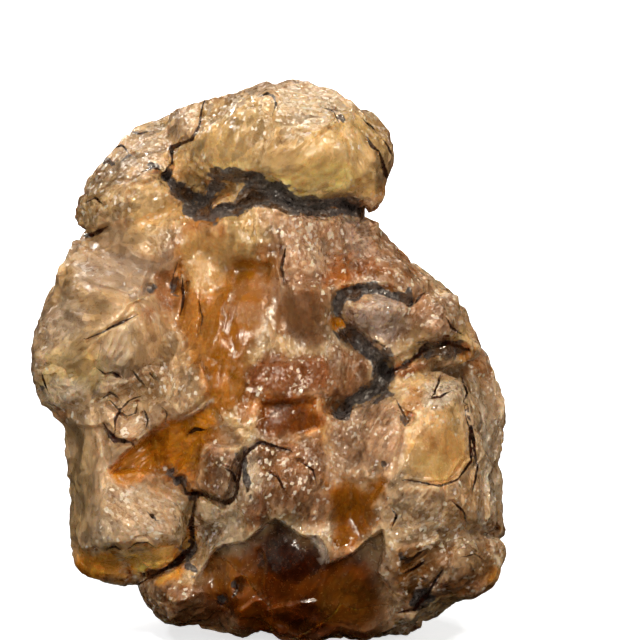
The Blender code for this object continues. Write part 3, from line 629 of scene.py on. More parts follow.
def remade(mesh, kind, **settings):
    """The mesh after a modifier of that kind with those settings."""
    helper = linked("helper", mesh)
    modifier = helper.modifiers.new("modifier", kind)
    for name, value in settings.items():
        setattr(modifier, name, value)
    bpy.context.view_layer.update()
    made = bpy.data.meshes.new_from_object(helper.evaluated_get(bpy.context.evaluated_depsgraph_get()))
    bpy.data.objects.remove(helper)
    return made


def fused_lumps():
    """All lumps as one even, softened skin."""
    rng = np.random.default_rng(LUMP_SEED)
    bm = bmesh.new()
    for centre, half_sizes, roll in LUMPS.values():
        lump(bm, centre, half_sizes, roll, rng)
    mesh = bpy.data.meshes.new("lumps")
    bm.to_mesh(mesh)
    bm.free()
    fused = remade(mesh, "REMESH", mode="VOXEL", voxel_size=SKIN)
    return remade(fused, "SMOOTH", iterations=SOFTENING)


def triples(items, name):
    """A vector kept in each item of a mesh, as rows."""
    values = np.empty(len(items) * 3, np.float32)
    items.foreach_get(name, values)
    return values.reshape(-1, 3).astype(float)


def points_of(mesh):
    return triples(mesh.vertices, "co")


def normals_of(mesh):
    return triples(mesh.vertex_normals, "vector")


def put_points(mesh, points):
    mesh.vertices.foreach_set("co", points.astype(np.float32).ravel())
    mesh.update()


def fit_outline(points):
    """Draws the points in or out across the face, most at the rim, until they fill OUTLINE."""
    rim = on_grid(OUTLINE)
    parts = np.linspace(0, 1, 12, endpoint=False)[:, None]
    dense = np.concatenate([a + (b - a) * parts for a, b in zip(rim, np.roll(rim, -1, axis=0))])
    bearing = np.arctan2(points[:, 2], points[:, 0])
    reach = np.hypot(points[:, 0], points[:, 2])
    slot = np.floor((bearing + math.pi) / (2 * math.pi) * RIM_SLOTS).astype(int) % RIM_SLOTS
    present = np.zeros(RIM_SLOTS)
    np.maximum.at(present, slot, reach)
    slot_bearings = (np.arange(RIM_SLOTS) + 0.5) / RIM_SLOTS * 2 * math.pi - math.pi
    rim_bearings = np.arctan2(dense[:, 1], dense[:, 0])
    order = np.argsort(rim_bearings)
    rim_reach = np.hypot(dense[order, 0], dense[order, 1])
    wanted = np.interp(slot_bearings, rim_bearings[order], rim_reach, period=2 * math.pi)
    growth = np.mean([np.roll(wanted / present, k) for k in (-1, 0, 1)], axis=0)
    share = reach / np.interp(bearing, slot_bearings, present, period=2 * math.pi)
    growth_here = np.interp(bearing, slot_bearings, growth, period=2 * math.pi)
    grow = 1 + (growth_here - 1) * np.clip(share, 0, 1) ** 3
    fitted = points.copy()
    fitted[:, 0] *= grow
    fitted[:, 2] *= grow
    return fitted


def near_box(across, corners, margin):
    """The points within margin of the box round some corners, as numbers in the list of points."""
    inside = (across > corners.min(axis=0) - margin) & (across < corners.max(axis=0) + margin)
    return np.flatnonzero(inside.all(axis=1))


def nearest_on_line(across, line):
    """Distance to a line, the side of it, positive on its left, and how far along it that is, 0 to 1."""
    corners = on_grid(line)
    best = np.full(len(across), np.inf)
    side = np.zeros(len(across))
    along = np.zeros(len(across))
    for number, (a, b) in enumerate(zip(corners, corners[1:])):
        run = b - a
        t = np.clip(((across - a) @ run) / (run @ run), 0, 1)
        off = across - (a + t[:, None] * run)
        distance = np.hypot(off[:, 0], off[:, 1])
        nearer = distance < best
        best[nearer] = distance[nearer]
        side[nearer] = np.sign(run[0] * (across[nearer, 1] - a[1]) - run[1] * (across[nearer, 0] - a[0]))
        along[nearer] = (number + t[nearer]) / (len(corners) - 1)
    return best, side, along


def beside(across, line, reach):
    """The points within reach, in mm, of the box round a line, and what nearest_on_line says of them."""
    near = near_box(across, on_grid(line), reach)
    return near, *nearest_on_line(across[near], line)


def towards_ends(along, least, over):
    """1 along the middle of a line, falling to the least at both its ends."""
    return least + (1 - least) * soft_step(np.minimum(along, 1 - along), 0, over)


def inside_outline(across, outline, softness):
    """1 inside a convex outline on the face, falling to 0 over softness, in mm, and its middle."""
    corners = on_grid(outline)
    middle = corners.mean(axis=0)
    depth = np.full(len(across), np.inf)
    for a, b in zip(corners, np.roll(corners, -1, axis=0)):
        normal = np.array([b[1] - a[1], a[0] - b[0]])
        normal /= np.hypot(*normal)
        if (middle - a) @ normal < 0:
            normal = -normal
        depth = np.minimum(depth, (across - a) @ normal)
    return soft_step(depth, -softness / 2, softness / 2), middle


def patch_cover(across, centre, roll):
    """How far a point is into a round patch: 1 at its centre, 0 at its edge, less outside."""
    column, row, half_width, half_height = centre
    away = across - on_grid([(column, row)])[0]
    c, s = math.cos(math.radians(roll)), math.sin(math.radians(roll))
    u = (away[:, 0] * c + away[:, 1] * s) / (half_width * STEP)
    v = (away[:, 1] * c - away[:, 0] * s) / (half_height * STEP)
    return 1 - np.hypot(u, v)


def lattice_noise(points, size, seed):
    """Smooth noise from -1 to 1 with lumps about size mm across."""
    table = np.random.default_rng(seed).uniform(-1, 1, (32, 32, 32))
    spread = points / size
    cell = np.floor(spread).astype(int)
    part = spread - cell
    part = part * part * (3 - 2 * part)
    total = np.zeros(len(points))
    for corner in np.ndindex(2, 2, 2):
        weight = np.prod(np.where(np.array(corner), part, 1 - part), axis=1)
        total += weight * table[tuple(((cell + corner) % 32).T)]
    return total


def layered_noise(points, name):
    """One of NOISES, each of its layers half the size of the one before."""
    size, seed, layers = NOISES[name]
    return sum(lattice_noise(points, size / 2**k, seed + k) * 0.55**k for k in range(layers))


def strayed(points):
    """Places across and up the face, moved about a little so that no edge runs straight."""
    moved = points[:, [0, 2]].copy()
    for size, reach, seed in STRAYS:
        moved[:, 0] += reach * lattice_noise(points, size, seed)
        moved[:, 1] += reach * lattice_noise(points, size, seed + 1)
    return moved


def carved(across, lines):
    """Height, in mm, of the channels along lines."""
    height = np.zeros(len(across))
    for line, width, depth in lines:
        near, distance, _, _ = beside(across, line, width * STEP)
        height[near] -= depth * (1 - soft_step(distance, 0.15 * width * STEP, 0.75 * width * STEP))
    return height


def crack_sides(across, lines):
    """Which side of the nearest line a point lies on, in half widths, and how near the line is, 0 to 1."""
    side = np.full(len(across), FAR_SIDE)
    close = np.zeros(len(across))
    for line, width, _ in lines:
        near, distance, sign, along = beside(across, line, CRACK_REACH * STEP)
        taper = towards_ends(along, 0.35, 0.3)
        nearer = 1 - distance / (CRACK_REACH * STEP) > close[near]
        picked = near[nearer]
        close[picked] = 1 - distance[nearer] / (CRACK_REACH * STEP)
        off = sign * distance / (0.3 * width * STEP * taper)
        side[picked] = np.clip(off, -FAR_SIDE, FAR_SIDE)[nearer]
    return side, close


def nearness(across, lines):
    """1 on the nearest line, 0.5 at the edge of its width and 0 as far out again."""
    close = np.zeros(len(across))
    for line, width, _ in lines:
        reach = width * STEP
        near, distance, _, along = beside(across, line, reach)
        close[near] = np.maximum(close[near], 1 - distance / (reach * towards_ends(along, 0.55, 0.25)))
    return close


def in_hollow(across):
    """1 in the glassy hollow, on the inner side of the broken skin's rim, and 0 outside it."""
    line, _, reach = LEDGES["skin_rim"]
    distance, side, _ = nearest_on_line(across, line)
    return soft_step(-side * distance, -0.02, 0.03) * (distance < reach * STEP)


def face_relief(across):
    """Height out of the face, in mm, that its flat faces, ledges, seams, cracks and pits add."""
    height = np.zeros(len(across))
    for outline, raised, slope_right, slope_up in FACES.values():
        near = near_box(across, on_grid(outline), FACE_EDGE)
        inside, middle = inside_outline(across[near], outline, FACE_EDGE)
        height[near] += inside * (raised + (across[near] - middle) @ np.array([slope_right, slope_up]))
    for line, drop, reach in LEDGES.values():
        near, distance, side, along = beside(across, line, reach * STEP)
        fade = 1 - soft_step(distance, 0, reach * STEP)
        low_side = soft_step(-side * distance, -0.03, 0.05)
        height[near] -= drop * fade * towards_ends(along, 0, 0.08) * low_side
    height += carved(across, SEAMS.values()) + carved(across, CRACKS)
    for column, row, radius, depth in PITS:
        distance = np.hypot(*(across - on_grid([(column, row)])[0]).T)
        height -= depth * (1 - soft_step(distance, 0.3 * radius * STEP, 1.3 * radius * STEP))
    return height


def turned(across, degrees):
    """Places along a direction on the face, and over across it."""
    a = np.radians(degrees)
    c, s = np.cos(a), np.sin(a)
    return across[:, 0] * c + across[:, 1] * s, -across[:, 0] * s + across[:, 1] * c


def growth_lines(points, across):
    """Fine ridges of the growth patches, in mm."""
    height = np.zeros(len(across))
    for number, (centre, direction, spacing, high) in enumerate(GROWTH):
        cover = soft_step(patch_cover(across, centre, 0), 0, 0.45)
        near = cover > 0
        along, over = turned(across[near], direction)
        stretched = np.column_stack([along / 7, over, points[near, 1] * 0.3])
        ridges = 1 - 2 * np.abs(lattice_noise(stretched, spacing, GROWTH_SEED + number))
        height[near] += high * cover[near] * ridges
    return height


def crystal_points(points, size, slope, rng):
    """Height of low crystal points about size mm across, grown together around the whole stone."""
    jitter = rng.uniform(0.1, 0.9, (16, 16, 16, 3)).astype(np.float32)
    turns = np.linalg.qr(rng.normal(size=(16, 16, 16, 3, 3)))[0].astype(np.float32)
    spread = (points / size).astype(np.float32)
    cell = np.floor(spread).astype(int)
    height = np.full(len(points), -np.inf, np.float32)
    for offset in np.ndindex(3, 3, 3):
        near = cell + np.array(offset) - 1
        pick = tuple((near % 16).T)
        away = spread - (near + jitter[pick])
        steepest = np.abs(np.einsum("nij,nj->ni", turns[pick], away)).max(axis=1)
        height = np.maximum(height, -steepest)
    return (height - height.mean()) * slope * size


def clearness(across, facing):
    """How glassy the skin is at places on the face, from 0 to 1."""
    clear = np.zeros(len(across))
    for centre, roll, amount in CLEAR:
        cover = soft_step(patch_cover(across, centre, roll), -0.05, 0.35)
        clear = np.maximum(clear, cover * amount)
    return clear * facing


def sculpt(mesh):
    """Gives the fused lumps their outline, their crystal points and the relief of the face."""
    put_points(mesh, fit_outline(points_of(mesh)))
    points = points_of(mesh)
    normals = normals_of(mesh)
    across = strayed(points)
    facing = soft_step(-normals[:, 1], *FACING)
    rng = np.random.default_rng(CRYSTAL_SEED)
    crystals = sum(crystal_points(points, size, slope, rng) for size, slope in CRYSTALS)
    fine = sum(crystal_points(points, size, slope, rng) for size, slope in FINE_CRYSTALS)
    frosted = soft_step(layered_noise(points, "frosted"), -0.5, 0.6)
    fine *= (0.30 + 0.70 * frosted) * (1 - 0.9 * clearness(across, facing))
    points += normals * (crystals * (1 - 0.70 * facing) + fine)[:, None]
    points[:, 1] -= (face_relief(across) + growth_lines(points, across)) * facing
    put_points(mesh, fit_outline(points))


def to_world():
    """From the face frame in millimetres to the stone's place in metres."""
    lean = Matrix.Rotation(-LEAN, 4, "X")
    return Matrix.Scale(MM, 4) @ Matrix.Translation((-AXIS[0], -AXIS[1], -FLOOR)) @ lean


def flatten_foot(points):
    """Brings what reaches below the rest face up to it, in the face frame."""
    up = np.array([0, -math.sin(LEAN), math.cos(LEAN)])
    sunk = np.minimum(points @ up - FLOOR, 0)
    return points - sunk[:, None] * up


def linear(colour):
    """A display colour out of 255 as the linear light that the shader takes."""
    share = np.array(colour) / 255
    return np.where(share <= 0.04045, share / 12.92, ((share + 0.055) / 1.055) ** 2.4)


def blended(base, colour, amount):
    amount = np.clip(amount, 0, 1)[:, None]
    return base * (1 - amount) + linear(PALETTE[colour]) * amount


class Skin:
    """The stone's points, and what its colours and gloss are laid on by."""

    def __init__(self, mesh):
        smeared = remade(mesh.copy(), "SMOOTH", iterations=SMEARING)
        self.points = points_of(mesh)
        self.proud = ((self.points - points_of(smeared)) * normals_of(mesh)).sum(axis=1)
        self.facing = soft_step(-normals_of(smeared)[:, 1], -0.15, 0.35)
        self.behind = 1 - self.facing
        self.across = self.points[:, [0, 2]]
        self.strayed = strayed(self.points)
        self.warp = np.column_stack([self.noise("warp_right"), self.noise("warp_up")])
        self.warped = self.across + self.warp * PATCH_WARP
        self.speck = self.noise("speck")
        kept = 1 - 0.7 * soft_step(self.across[:, 0], *HOLLOW_END)
        self.hollow = in_hollow(self.strayed) * self.facing * kept
        rear = 0.6 * soft_step(self.noise("clear"), 0.15, 0.6) * self.behind
        self.clear = np.maximum(np.maximum(clearness(self.warped, self.facing), self.hollow), rear)

    def noise(self, name):
        return layered_noise(self.points, name)

    def cover(self, centre, roll):
        return patch_cover(self.warped, centre, roll)

    def tone(self):
        """The colour of each point, in linear light."""
        broad = self.noise("broad")
        tone = np.repeat(linear(PALETTE["taupe"])[None], len(self.points), axis=0)
        tone = blended(tone, "honey", soft_step(broad, -0.1, 0.6) * 0.8)
        tone = blended(tone, "mauve", soft_step(-broad, 0.1, 0.7) * 0.7)
        for colour, start, end, fullness in GROUND:
            tone = blended(tone, colour, soft_step(self.noise(colour), start, end) * fullness)
        for patches, reach in ((PATCHES, self.facing), (HOLLOW_PATCHES, self.hollow)):
            for centre, roll, colour, fullness in patches:
                cover = soft_step(self.cover(centre, roll), -0.10, 0.30)
                tone = blended(tone, colour, cover * fullness * reach)
        # painted shade: amber where the skin lies a little below its smoothed copy, brown where it lies
        # deeper
        tone = blended(tone, "amber", soft_step(-self.proud, 0.01, 0.08) * 0.28)
        tone = blended(tone, "brown", soft_step(-self.proud + self.speck * 0.01, 0.045, 0.13) * 0.35)
        # paler frost where the skin stands proud: partly its frosted skin, partly painted light on the
        # ridges
        frost = soft_step(self.proud + self.speck * 0.015, -0.005, 0.045)
        tone = blended(tone, "frost", frost * (1 - soft_step(self.clear, 0.05, 0.45)) * 0.34)
        edges = self.strayed + self.warp * TINT_WARP
        for name, colour, fullness in TINTS:
            inside, _ = inside_outline(edges, FACES[name][0], TINT_EDGE)
            tone = blended(tone, colour, inside * fullness * self.facing)
        tone *= (1 + 0.10 * self.speck + 0.12 * self.noise("shade"))[:, None]
        # painted highlights: the rims of the ledges are painted white where light catches them
        for name, width, count in PAINTED_EDGE_HIGHLIGHTS:
            edge = soft_step(nearness(self.strayed, [(LEDGES[name][0][:count], width, 0)]), 0.2, 0.8)
            tone = blended(tone, "white", edge * self.facing * 0.65 * soft_step(self.speck, -0.6, 0.2))
        return np.clip(tone, 0, 1)

    def film(self):
        """How thick the dark film lies, in the open seams and pits and in the deepest hollows behind."""
        film = nearness(self.across + self.warp * FILM_WARP, [SEAMS[name] for name in FILMED])
        for column, row, radius, _ in PITS:
            film = np.maximum(film, self.cover((column, row, 1.4 * radius, 1.4 * radius), 0))
        film = np.maximum(film * self.facing, soft_step(-self.proud, 0.06, 0.14) * self.behind * 0.8)
        for centre, roll in FILMS:
            film = np.maximum(film, (0.5 + self.cover(centre, roll)) * self.facing)
        for centre, roll in BARE:
            film *= 1 - soft_step(self.cover(centre, roll), 0.0, 0.3)
        return np.clip(film + 0.12 * self.speck, 0, 1)

    def glints(self):
        """How much the skin glints: 1 where it glitters, -1 where it is waxy."""
        glints = np.full(len(self.points), -1.0)
        for centre, roll in GLINTS:
            glints = np.maximum(glints, self.cover(centre, roll))
        glints = soft_step(glints + 0.3 * self.speck, -0.1, 0.5)
        for centre, roll in WAXY:
            glints -= 1.5 * soft_step(self.cover(centre, roll), -0.05, 0.35)
        glints = np.maximum(glints, -1) * self.facing
        return glints + (1.5 * soft_step(self.noise("glints"), -0.3, 0.5) - 1) * self.behind

    def grain(self):
        """How strongly the skin is streaked, and coordinates stretched along the nearest growth patch."""
        best = np.full(len(self.points), -np.inf)
        direction = np.full(len(self.points), PLAIN_DIRECTION)
        strength = np.zeros(len(self.points))
        for centre, degrees, _, high in GROWTH:
            cover = patch_cover(self.across, centre, 0)
            nearer = cover > best
            best[nearer] = cover[nearer]
            direction[nearer] = degrees
            strength[nearer] = high / FULL_HEIGHT
        cover = soft_step(best + 0.4 * self.noise("striae"), -0.1, 0.4)
        along, over = turned(self.across, direction)
        stretched = np.column_stack([along / STREAK_LENGTH, over, self.points[:, 1] * 0.5])
        return 0.12 + 0.88 * cover * strength, stretched


def store(mesh, name, values):
    """Keeps a number, a place or a colour for each point of the mesh."""
    width = 1 if values.ndim == 1 else values.shape[1]
    kind, part = {1: ("FLOAT", "value"), 3: ("FLOAT_VECTOR", "vector"), 4: ("FLOAT_COLOR", "color")}[width]
    attribute = mesh.attributes.new(name, kind, "POINT")
    attribute.data.foreach_set(part, values.astype(np.float32).ravel())


def paint(mesh):
    """Keeps what the material reads, for each point, as attributes of the mesh."""
    skin = Skin(mesh)
    film = skin.film()
    dark_lines = [SEAMS[name] for name in SEAMS if name not in FILMED] + CRACKS
    side, close = crack_sides(skin.across + skin.warp * CRACK_WARP, dark_lines)
    striae, grain = skin.grain()
    store(mesh, "tone", np.column_stack([skin.tone(), np.ones(len(film))]))
    store(mesh, "film", film)
    store(mesh, "crack", close * skin.facing)
    store(mesh, "side", side)
    store(mesh, "clear", skin.clear * (1 - soft_step(film, 0.3, 0.6)))
    store(mesh, "glints", skin.glints())
    store(mesh, "striae", striae)
    store(mesh, "grain", grain)


class Shader:
    """Short ways to add and join the nodes of a material."""

    def __init__(self, name):
        self.material = bpy.data.materials.new(name)
        self.material.use_nodes = True
        self.tree = self.material.node_tree
        self.surface = self.tree.nodes["Principled BSDF"]
        self.output = self.tree.nodes["Material Output"]

    def fill(self, node, inputs):
        """Joins a node's inputs to other nodes' outputs, or sets their own values."""
        for name, value in inputs.items():
            if isinstance(value, bpy.types.NodeSocket):
                self.tree.links.new(value, node.inputs[name])
            else:
                node.inputs[name].default_value = value

    def node(self, kind, output, inputs, **settings):
        """The named output of a new node with those inputs and settings."""
        made = self.tree.nodes.new("ShaderNode" + kind)
        for name, value in settings.items():
            setattr(made, name, value)
        self.fill(made, inputs)
        return made.outputs[output]

    def attribute(self, name, output="Fac"):
        return self.node("Attribute", output, {}, attribute_name=name)

    def noise(self, vector, scale, detail=3.0, roughness=0.6, output="Fac"):
        inputs = {"Vector": vector, "Scale": scale, "Detail": detail, "Roughness": roughness}
        return self.node("TexNoise", output, inputs)

    def cells(self, vector, scale, feature="F1", output="Color"):
        return self.node("TexVoronoi", output, {"Vector": vector, "Scale": scale}, feature=feature)

    def vector_math(self, operation, first, second):
        second_name = "Scale" if operation == "SCALE" else 1
        return self.node("VectorMath", "Vector", {0: first, second_name: second}, operation=operation)

    def part(self, vector, axis):
        return self.node("SeparateXYZ", axis, {0: vector})

    def math(self, operation, first, second=0.0, clamp=False):
        return self.node("Math", 0, {0: first, 1: second}, operation=operation, use_clamp=clamp)

    def times(self, first, second):
        return self.math("MULTIPLY", first, second)

    def plus(self, first, second):
        return self.math("ADD", first, second)

    def ramp(self, value, low, high, to_low=0.0, to_high=1.0):
        inputs = {"Value": value, "From Min": low, "From Max": high, "To Min": to_low, "To Max": to_high}
        return self.node("MapRange", "Result", inputs, interpolation_type="SMOOTHSTEP")

    def mix(self, amount, first, second, blend="MIX"):
        inputs = {"Factor": amount, "A": first, "B": second}
        return self.node("Mix", "Result", inputs, data_type="RGBA", blend_type=blend)

    def tipped(self, normal, turn, tilt):
        """The normal tipped by a random vector, whose parts run from 0 to 1."""
        tip = self.vector_math("SUBTRACT", turn, (0.5, 0.5, 0.5))
        tip = self.vector_math("SCALE", tip, tilt)
        return self.vector_math("NORMALIZE", self.vector_math("ADD", normal, tip), (0.0, 0.0, 0.0))


def rgba(name):
    return (*linear(PALETTE[name]), 1.0)


def skin_maps(s):
    """The attributes, noises and cells that the diamond's material is made of."""
    names = ("film", "clear", "glints", "crack", "side", "striae")
    maps = SimpleNamespace(**{name: s.attribute(name) for name in names}, tone=s.attribute("tone", "Color"))
    place = s.node("TexCoord", "Object", {})
    grain = s.attribute("grain", "Vector")
    maps.lines = s.noise(grain, LINES, 4.0, 0.65)
    maps.grit = s.noise(place, GRIT, 4.0, 0.7)
    maps.etch = s.cells(place, ETCH, "DISTANCE_TO_EDGE", "Distance")
    maps.cloud = s.noise(place, CLOUD, 3.0, 0.6)
    wobble = s.vector_math("SCALE", s.noise(place, WOBBLE, 2.0, 0.5, "Color"), 0.10)
    plates = s.vector_math("ADD", s.vector_math("MULTIPLY", grain, (4.6, 1.0, 1.0)), wobble)
    maps.broad = s.cells(plates, PLATES)
    maps.small = s.cells(plates, FLAKES)
    maps.splinters = s.cells(s.vector_math("MULTIPLY", grain, (7.0, 1.0, 1.0)), SPLINTERS)
    maps.grains = s.cells(place, GRAINS)
    maps.sugary = s.ramp(maps.clear, 0.0, 0.6, 1.0, 0.18)
    maps.striped = s.times(maps.striae, s.ramp(maps.clear, 0.0, 1.0, 1.0, 0.75))
    maps.rugged = s.ramp(maps.glints, -1.0, 0.0, 0.3, 1.0)
    return maps


def skin_colour(s, maps):
    """The skin's colour: its tone with growth lines, flakes, etched edges, dirt and painted white glints.
    """
    frosted = s.ramp(maps.clear, 0.0, 0.45, 1.0, 0.0)
    streak = s.mix(frosted, s.vector_math("SCALE", maps.tone, 1.9), rgba("frost"))
    colour = s.mix(s.times(maps.striped, s.ramp(maps.lines, 0.54, 0.66, 0.0, 0.38)), maps.tone, streak)
    darker = s.mix(1.0, colour, rgba("cognac"), "MULTIPLY")
    colour = s.mix(s.times(maps.striped, s.ramp(maps.lines, 0.44, 0.34, 0.0, 0.38)), colour, darker)
    warmer = s.mix(1.0, colour, rgba("honey"), "MULTIPLY")
    colour = s.mix(s.ramp(maps.cloud, 0.42, 0.25, 0.0, 0.5), colour, warmer)
    uneven = s.times(s.ramp(s.part(maps.small, "X"), 0.0, 1.0, -0.16, 0.16), maps.rugged)
    shade = s.times(s.ramp(s.part(maps.broad, "X"), 0.0, 1.0, 0.80, 1.20), s.plus(uneven, 1.0))
    colour = s.vector_math("SCALE", colour, shade)
    edges = s.times(s.ramp(maps.etch, 0.06, 0.0), s.ramp(maps.glints, 0.2, 0.8, 0.1, 0.4))
    colour = s.mix(edges, colour, rgba("cognac"))
    dirt = s.times(s.ramp(maps.grit, 0.62, 0.74), s.ramp(maps.cloud, 0.45, 0.62, 0.0, 0.7))
    dirt = s.times(dirt, s.times(maps.rugged, s.ramp(maps.clear, 0.0, 0.7, 0.9, 0.2)))
    colour = s.mix(dirt, colour, rgba("brown"))
    # painted glints: white flecks laid into the colour where the skin glints, in place of light catching it
    painted_glint_flecks = s.plus(s.part(maps.splinters, "X"), s.times(maps.glints, 0.11))
    painted_glint_flecks = s.times(s.ramp(painted_glint_flecks, 0.90, 0.94), s.ramp(maps.cloud, 0.40, 0.56, 0.30, 0.85))
    return s.mix(s.times(painted_glint_flecks, s.times(maps.rugged, frosted)), colour, rgba("white"))


def filmed_and_cracked(s, maps, colour):
    """The colour under the film and in the cracks, and where the film and the cracks are."""
    film_colour = s.mix(s.ramp(maps.cloud, 0.50, 0.64), rgba("graphite"), rgba("soot"))
    film_colour = s.mix(s.ramp(maps.grit, 0.54, 0.68, 0.0, 0.8), film_colour, rgba("ash"))
    film_colour = s.mix(s.ramp(maps.grit, 0.46, 0.32, 0.0, 0.9), film_colour, rgba("black"))
    ragged = s.times(s.math("SUBTRACT", maps.grit, 0.5), 0.5)
    patchy = s.times(s.math("SUBTRACT", maps.cloud, 0.5), 0.8)
    filmy = s.ramp(s.plus(s.plus(maps.film, ragged), s.times(patchy, 1.5)), 0.46, 0.60)
    colour = s.mix(s.times(filmy, 0.95), colour, film_colour)
    broken = s.plus(s.times(ragged, 2.4), s.times(patchy, 4.0))
    thin_line = s.ramp(s.plus(s.math("ABSOLUTE", maps.side), broken), 1.35, 0.75)
    cracked = s.times(thin_line, s.ramp(maps.crack, 0.42, 0.58))
    colour = s.mix(cracked, colour, s.mix(s.ramp(maps.grit, 0.4, 0.6), rgba("black"), rgba("dark")))
    return colour, s.math("MAXIMUM", filmy, cracked)


def skin_roughness(s, maps):
    rough = s.ramp(maps.clear, 0.0, 0.8, 0.30, 0.20)
    rough = s.math("ADD", rough, s.ramp(maps.grit, 0.3, 0.7, -0.06, 0.10), clamp=True)
    mirrors = s.plus(s.part(maps.splinters, "Y"), s.times(maps.glints, 0.35))
    mirrors = s.times(s.ramp(mirrors, 0.80, 0.86), maps.sugary)
    return s.times(rough, s.math("SUBTRACT", 1.0, s.times(mirrors, 0.65)))


def skin_normal(s, maps):
    """Normals tipped plate by plate, flake by flake and grain by grain, with the growth lines over them."""
    normal = s.node("NewGeometry", "Normal", {})
    normal = s.tipped(normal, maps.broad, s.ramp(maps.clear, 0.3, 0.8, 0.30, 0.20))
    normal = s.tipped(normal, maps.small, s.times(maps.sugary, 0.55))
    glinting = s.times(maps.sugary, s.ramp(maps.glints, -1.0, 1.0, 0.05, 0.85))
    normal = s.tipped(normal, maps.splinters, glinting)
    normal = s.tipped(normal, maps.grains, s.times(maps.sugary, s.times(maps.rugged, 0.30)))
    ridges = {"Height": maps.lines, "Strength": s.times(maps.striped, 0.8), "Distance": LINE_BUMP}
    return s.node("Bump", "Normal", {"Normal": normal, **ridges})


def diamond_material():
    """Etched, translucent brown diamond: frosted where it stands proud, glassy and amber in its hollows.

    Its colour carries painted shade in the hollows and painted highlights and glints on the skin.
    """
    s = Shader("rough_diamond")
    maps = skin_maps(s)
    colour, covered = filmed_and_cracked(s, maps, skin_colour(s, maps))
    open_skin = s.math("SUBTRACT", 1.0, covered)
    s.fill(s.surface, {
        "Base Color": colour,
        "Roughness": skin_roughness(s, maps),
        "Transmission Weight": s.times(s.ramp(maps.clear, 0.1, 0.9, 0.0, 0.40), open_skin),
        "Subsurface Weight": s.times(open_skin, 0.6),
        "Normal": skin_normal(s, maps),
        "IOR": DIAMOND_IOR,
        "Specular IOR Level": GLOSS_LEVEL,
        "Specular Tint": GLOSS_TINT,
        "Subsurface Radius": BLEED,
        "Subsurface Scale": BLEED_REACH,
    })
    inside = s.node("VolumeAbsorption", "Volume", {"Color": INSIDE_COLOUR, "Density": INSIDE_DENSITY})
    s.fill(s.output, {"Volume": inside})
    return s.material


def stone_mesh():
    """The sculpted stone in its face frame, with its triangles kept where the surface turns."""
    mesh = remade(fused_lumps(), "SUBSURF", levels=1)
    sculpt(mesh)
    put_points(mesh, flatten_foot(points_of(mesh)))
    ratio = min(1, KEPT_TRIANGLES / (2 * len(mesh.polygons)))
    return remade(mesh, "DECIMATE", ratio=ratio, use_collapse_triangulate=True)


def make_stone():
    mesh = stone_mesh()
    mesh.name = "diamond"
    paint(mesh)
    mesh.transform(to_world())
    mesh.shade_smooth()
    mesh.set_sharp_from_angle(angle=CREASE)
    mesh.materials.clear()
    mesh.materials.append(diamond_material())
    stone = linked("diamond", mesh)
    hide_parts("rough_diamond")
    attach(stone, "root")


# The studio floor.
FLOOR_RADIUS = 0.5  # metres
FLOOR_COLOURS = ((0.80, 0.85, 0.94, 1), (0.83, 0.88, 0.97, 1))
FLOOR_GLOW = (0.008, 0.03, 0.65, 1.0)  # its own light grows from this to that many metres out, from, to
FLOOR_SPECKLE = 900.0  # per metre


def floor_material():
    """Pale studio floor, which grows as bright as the backdrop away from the stone."""
    s = Shader("pale_floor")
    place = s.node("TexCoord", "Object", {})
    x, y = s.part(place, "X"), s.part(place, "Y")
    distance = s.math("SQRT", s.plus(s.times(x, x), s.times(y, y)))
    speckle = s.ramp(s.noise(place, FLOOR_SPECKLE), 0.3, 0.7)
    s.fill(s.surface, {
        "Base Color": s.mix(speckle, *FLOOR_COLOURS),
        "Roughness": 0.8,
        "Emission Color": (1, 1, 1, 1),
        "Emission Strength": s.ramp(distance, *FLOOR_GLOW),
    })
    return s.material


def make_floor():
    bm = bmesh.new()
    bmesh.ops.create_circle(bm, cap_ends=True, segments=64, radius=FLOOR_RADIUS)
    mesh = bpy.data.meshes.new("floor")
    bm.to_mesh(mesh)
    bm.free()
    mesh.materials.append(floor_material())
    floor = linked("floor", mesh)
    floor.visible_glossy = False
    floor.visible_diffuse = False
    floor.visible_transmission = False


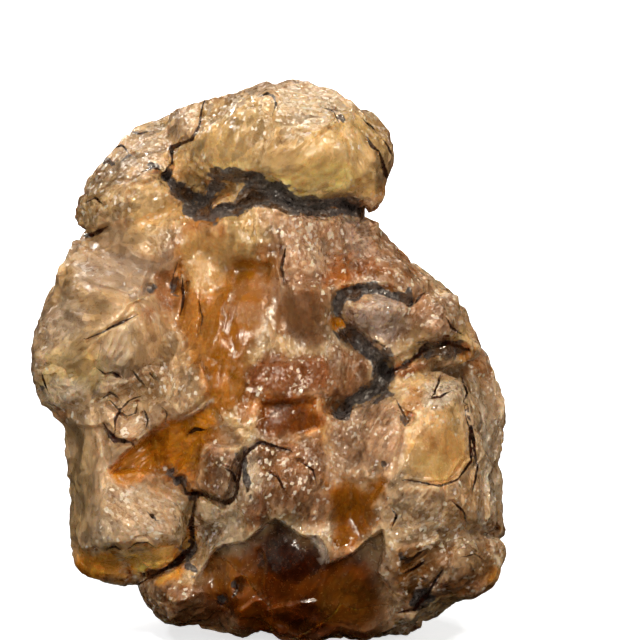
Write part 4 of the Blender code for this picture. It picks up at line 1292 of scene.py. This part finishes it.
# Area lights: place from the stone's middle (right, back, up) and size, both in stone heights, watts, and
# whether the stone's gloss shows them.
LIGHTS = {
    "overhead": ((-0.8, -1.6, 5.0), 3.0, 0.0080, False),
    "softbox": ((0.5, -2.4, 4.4), 1.2, 0.0017, True),
    "front": ((0.3, -5.0, 1.0), 4.5, 0.0074, False),
    "low_front": ((-0.4, -4.5, -1.6), 3.0, 0.0098, False),
    "left": ((-4.5, -1.8, 0.8), 3.0, 0.0046, False),
    "right": ((4.5, -1.5, 1.6), 3.0, 0.0030, False),
    "spark_right": ((2.4, -2.8, 3.6), 0.60, 0.0072, True),
    "spark_left": ((-0.6, -3.6, 3.4), 0.30, 0.0046, True),
    "behind": ((0.5, 3.5, 3.5), 2.0, 0.0060, True),
    "rear_fill": ((0.6, 4.8, 1.4), 4.0, 0.0080, False),
    "spark_rear": ((-2.2, 3.6, 2.6), 0.35, 0.0040, True),
}
WARM = (1.0, 0.93, 0.81)
NEUTRAL = (1.0, 0.98, 0.95)
SMALL_LIGHT = 0.5  # stone heights, the size up to which a light is neutral


def make_lights():
    height = FACE_HEIGHT * MM
    aim = Vector((0, 0, height / 2))
    for name, (place, size, watts, glossy) in LIGHTS.items():
        data = bpy.data.lights.new(name, "AREA")
        data.shape = "DISK"
        data.size = size * height
        data.energy = watts
        data.color = WARM if size > SMALL_LIGHT else NEUTRAL
        light = linked(name, data)
        light.location = aim + Vector(place) * height
        light.rotation_euler = (aim - light.location).to_track_quat("-Z", "Y").to_euler()
        light.visible_glossy = glossy


def make_world():
    """A white backdrop that only the camera sees."""
    world = bpy.data.worlds.new("studio")
    bpy.context.scene.world = world
    world.use_nodes = True
    sky = world.node_tree.nodes["Background"]
    sky.inputs["Color"].default_value = (1.0, 1.0, 1.0, 1.0)
    sky.inputs["Strength"].default_value = 1.0
    world.cycles_visibility.diffuse = False
    world.cycles_visibility.glossy = False
    world.cycles_visibility.transmission = False


# The camera looks along the face's own normal, from far off.
PICTURE = 640  # the picture's side, in grid steps
PICTURE_MIDDLE = (320, 320)  # the grid's column and row in its middle
CAMERA_DISTANCE = 0.3  # metres


def make_camera():
    data = bpy.data.cameras.new("camera")
    data.lens = data.sensor_width * CAMERA_DISTANCE / (PICTURE * STEP * MM)
    data.clip_start = 0.001
    camera = linked("camera", data)
    across, up = on_grid([PICTURE_MIDDLE])[0]
    camera.location = to_world() @ Vector((across, -CAMERA_DISTANCE / MM, up))
    camera.rotation_euler = (math.radians(90) - LEAN, 0, 0)
    bpy.context.scene.camera = camera


make_stone()
make_floor()
make_world()
make_lights()
make_camera()
bpy.context.scene.view_settings.view_transform = "Standard"
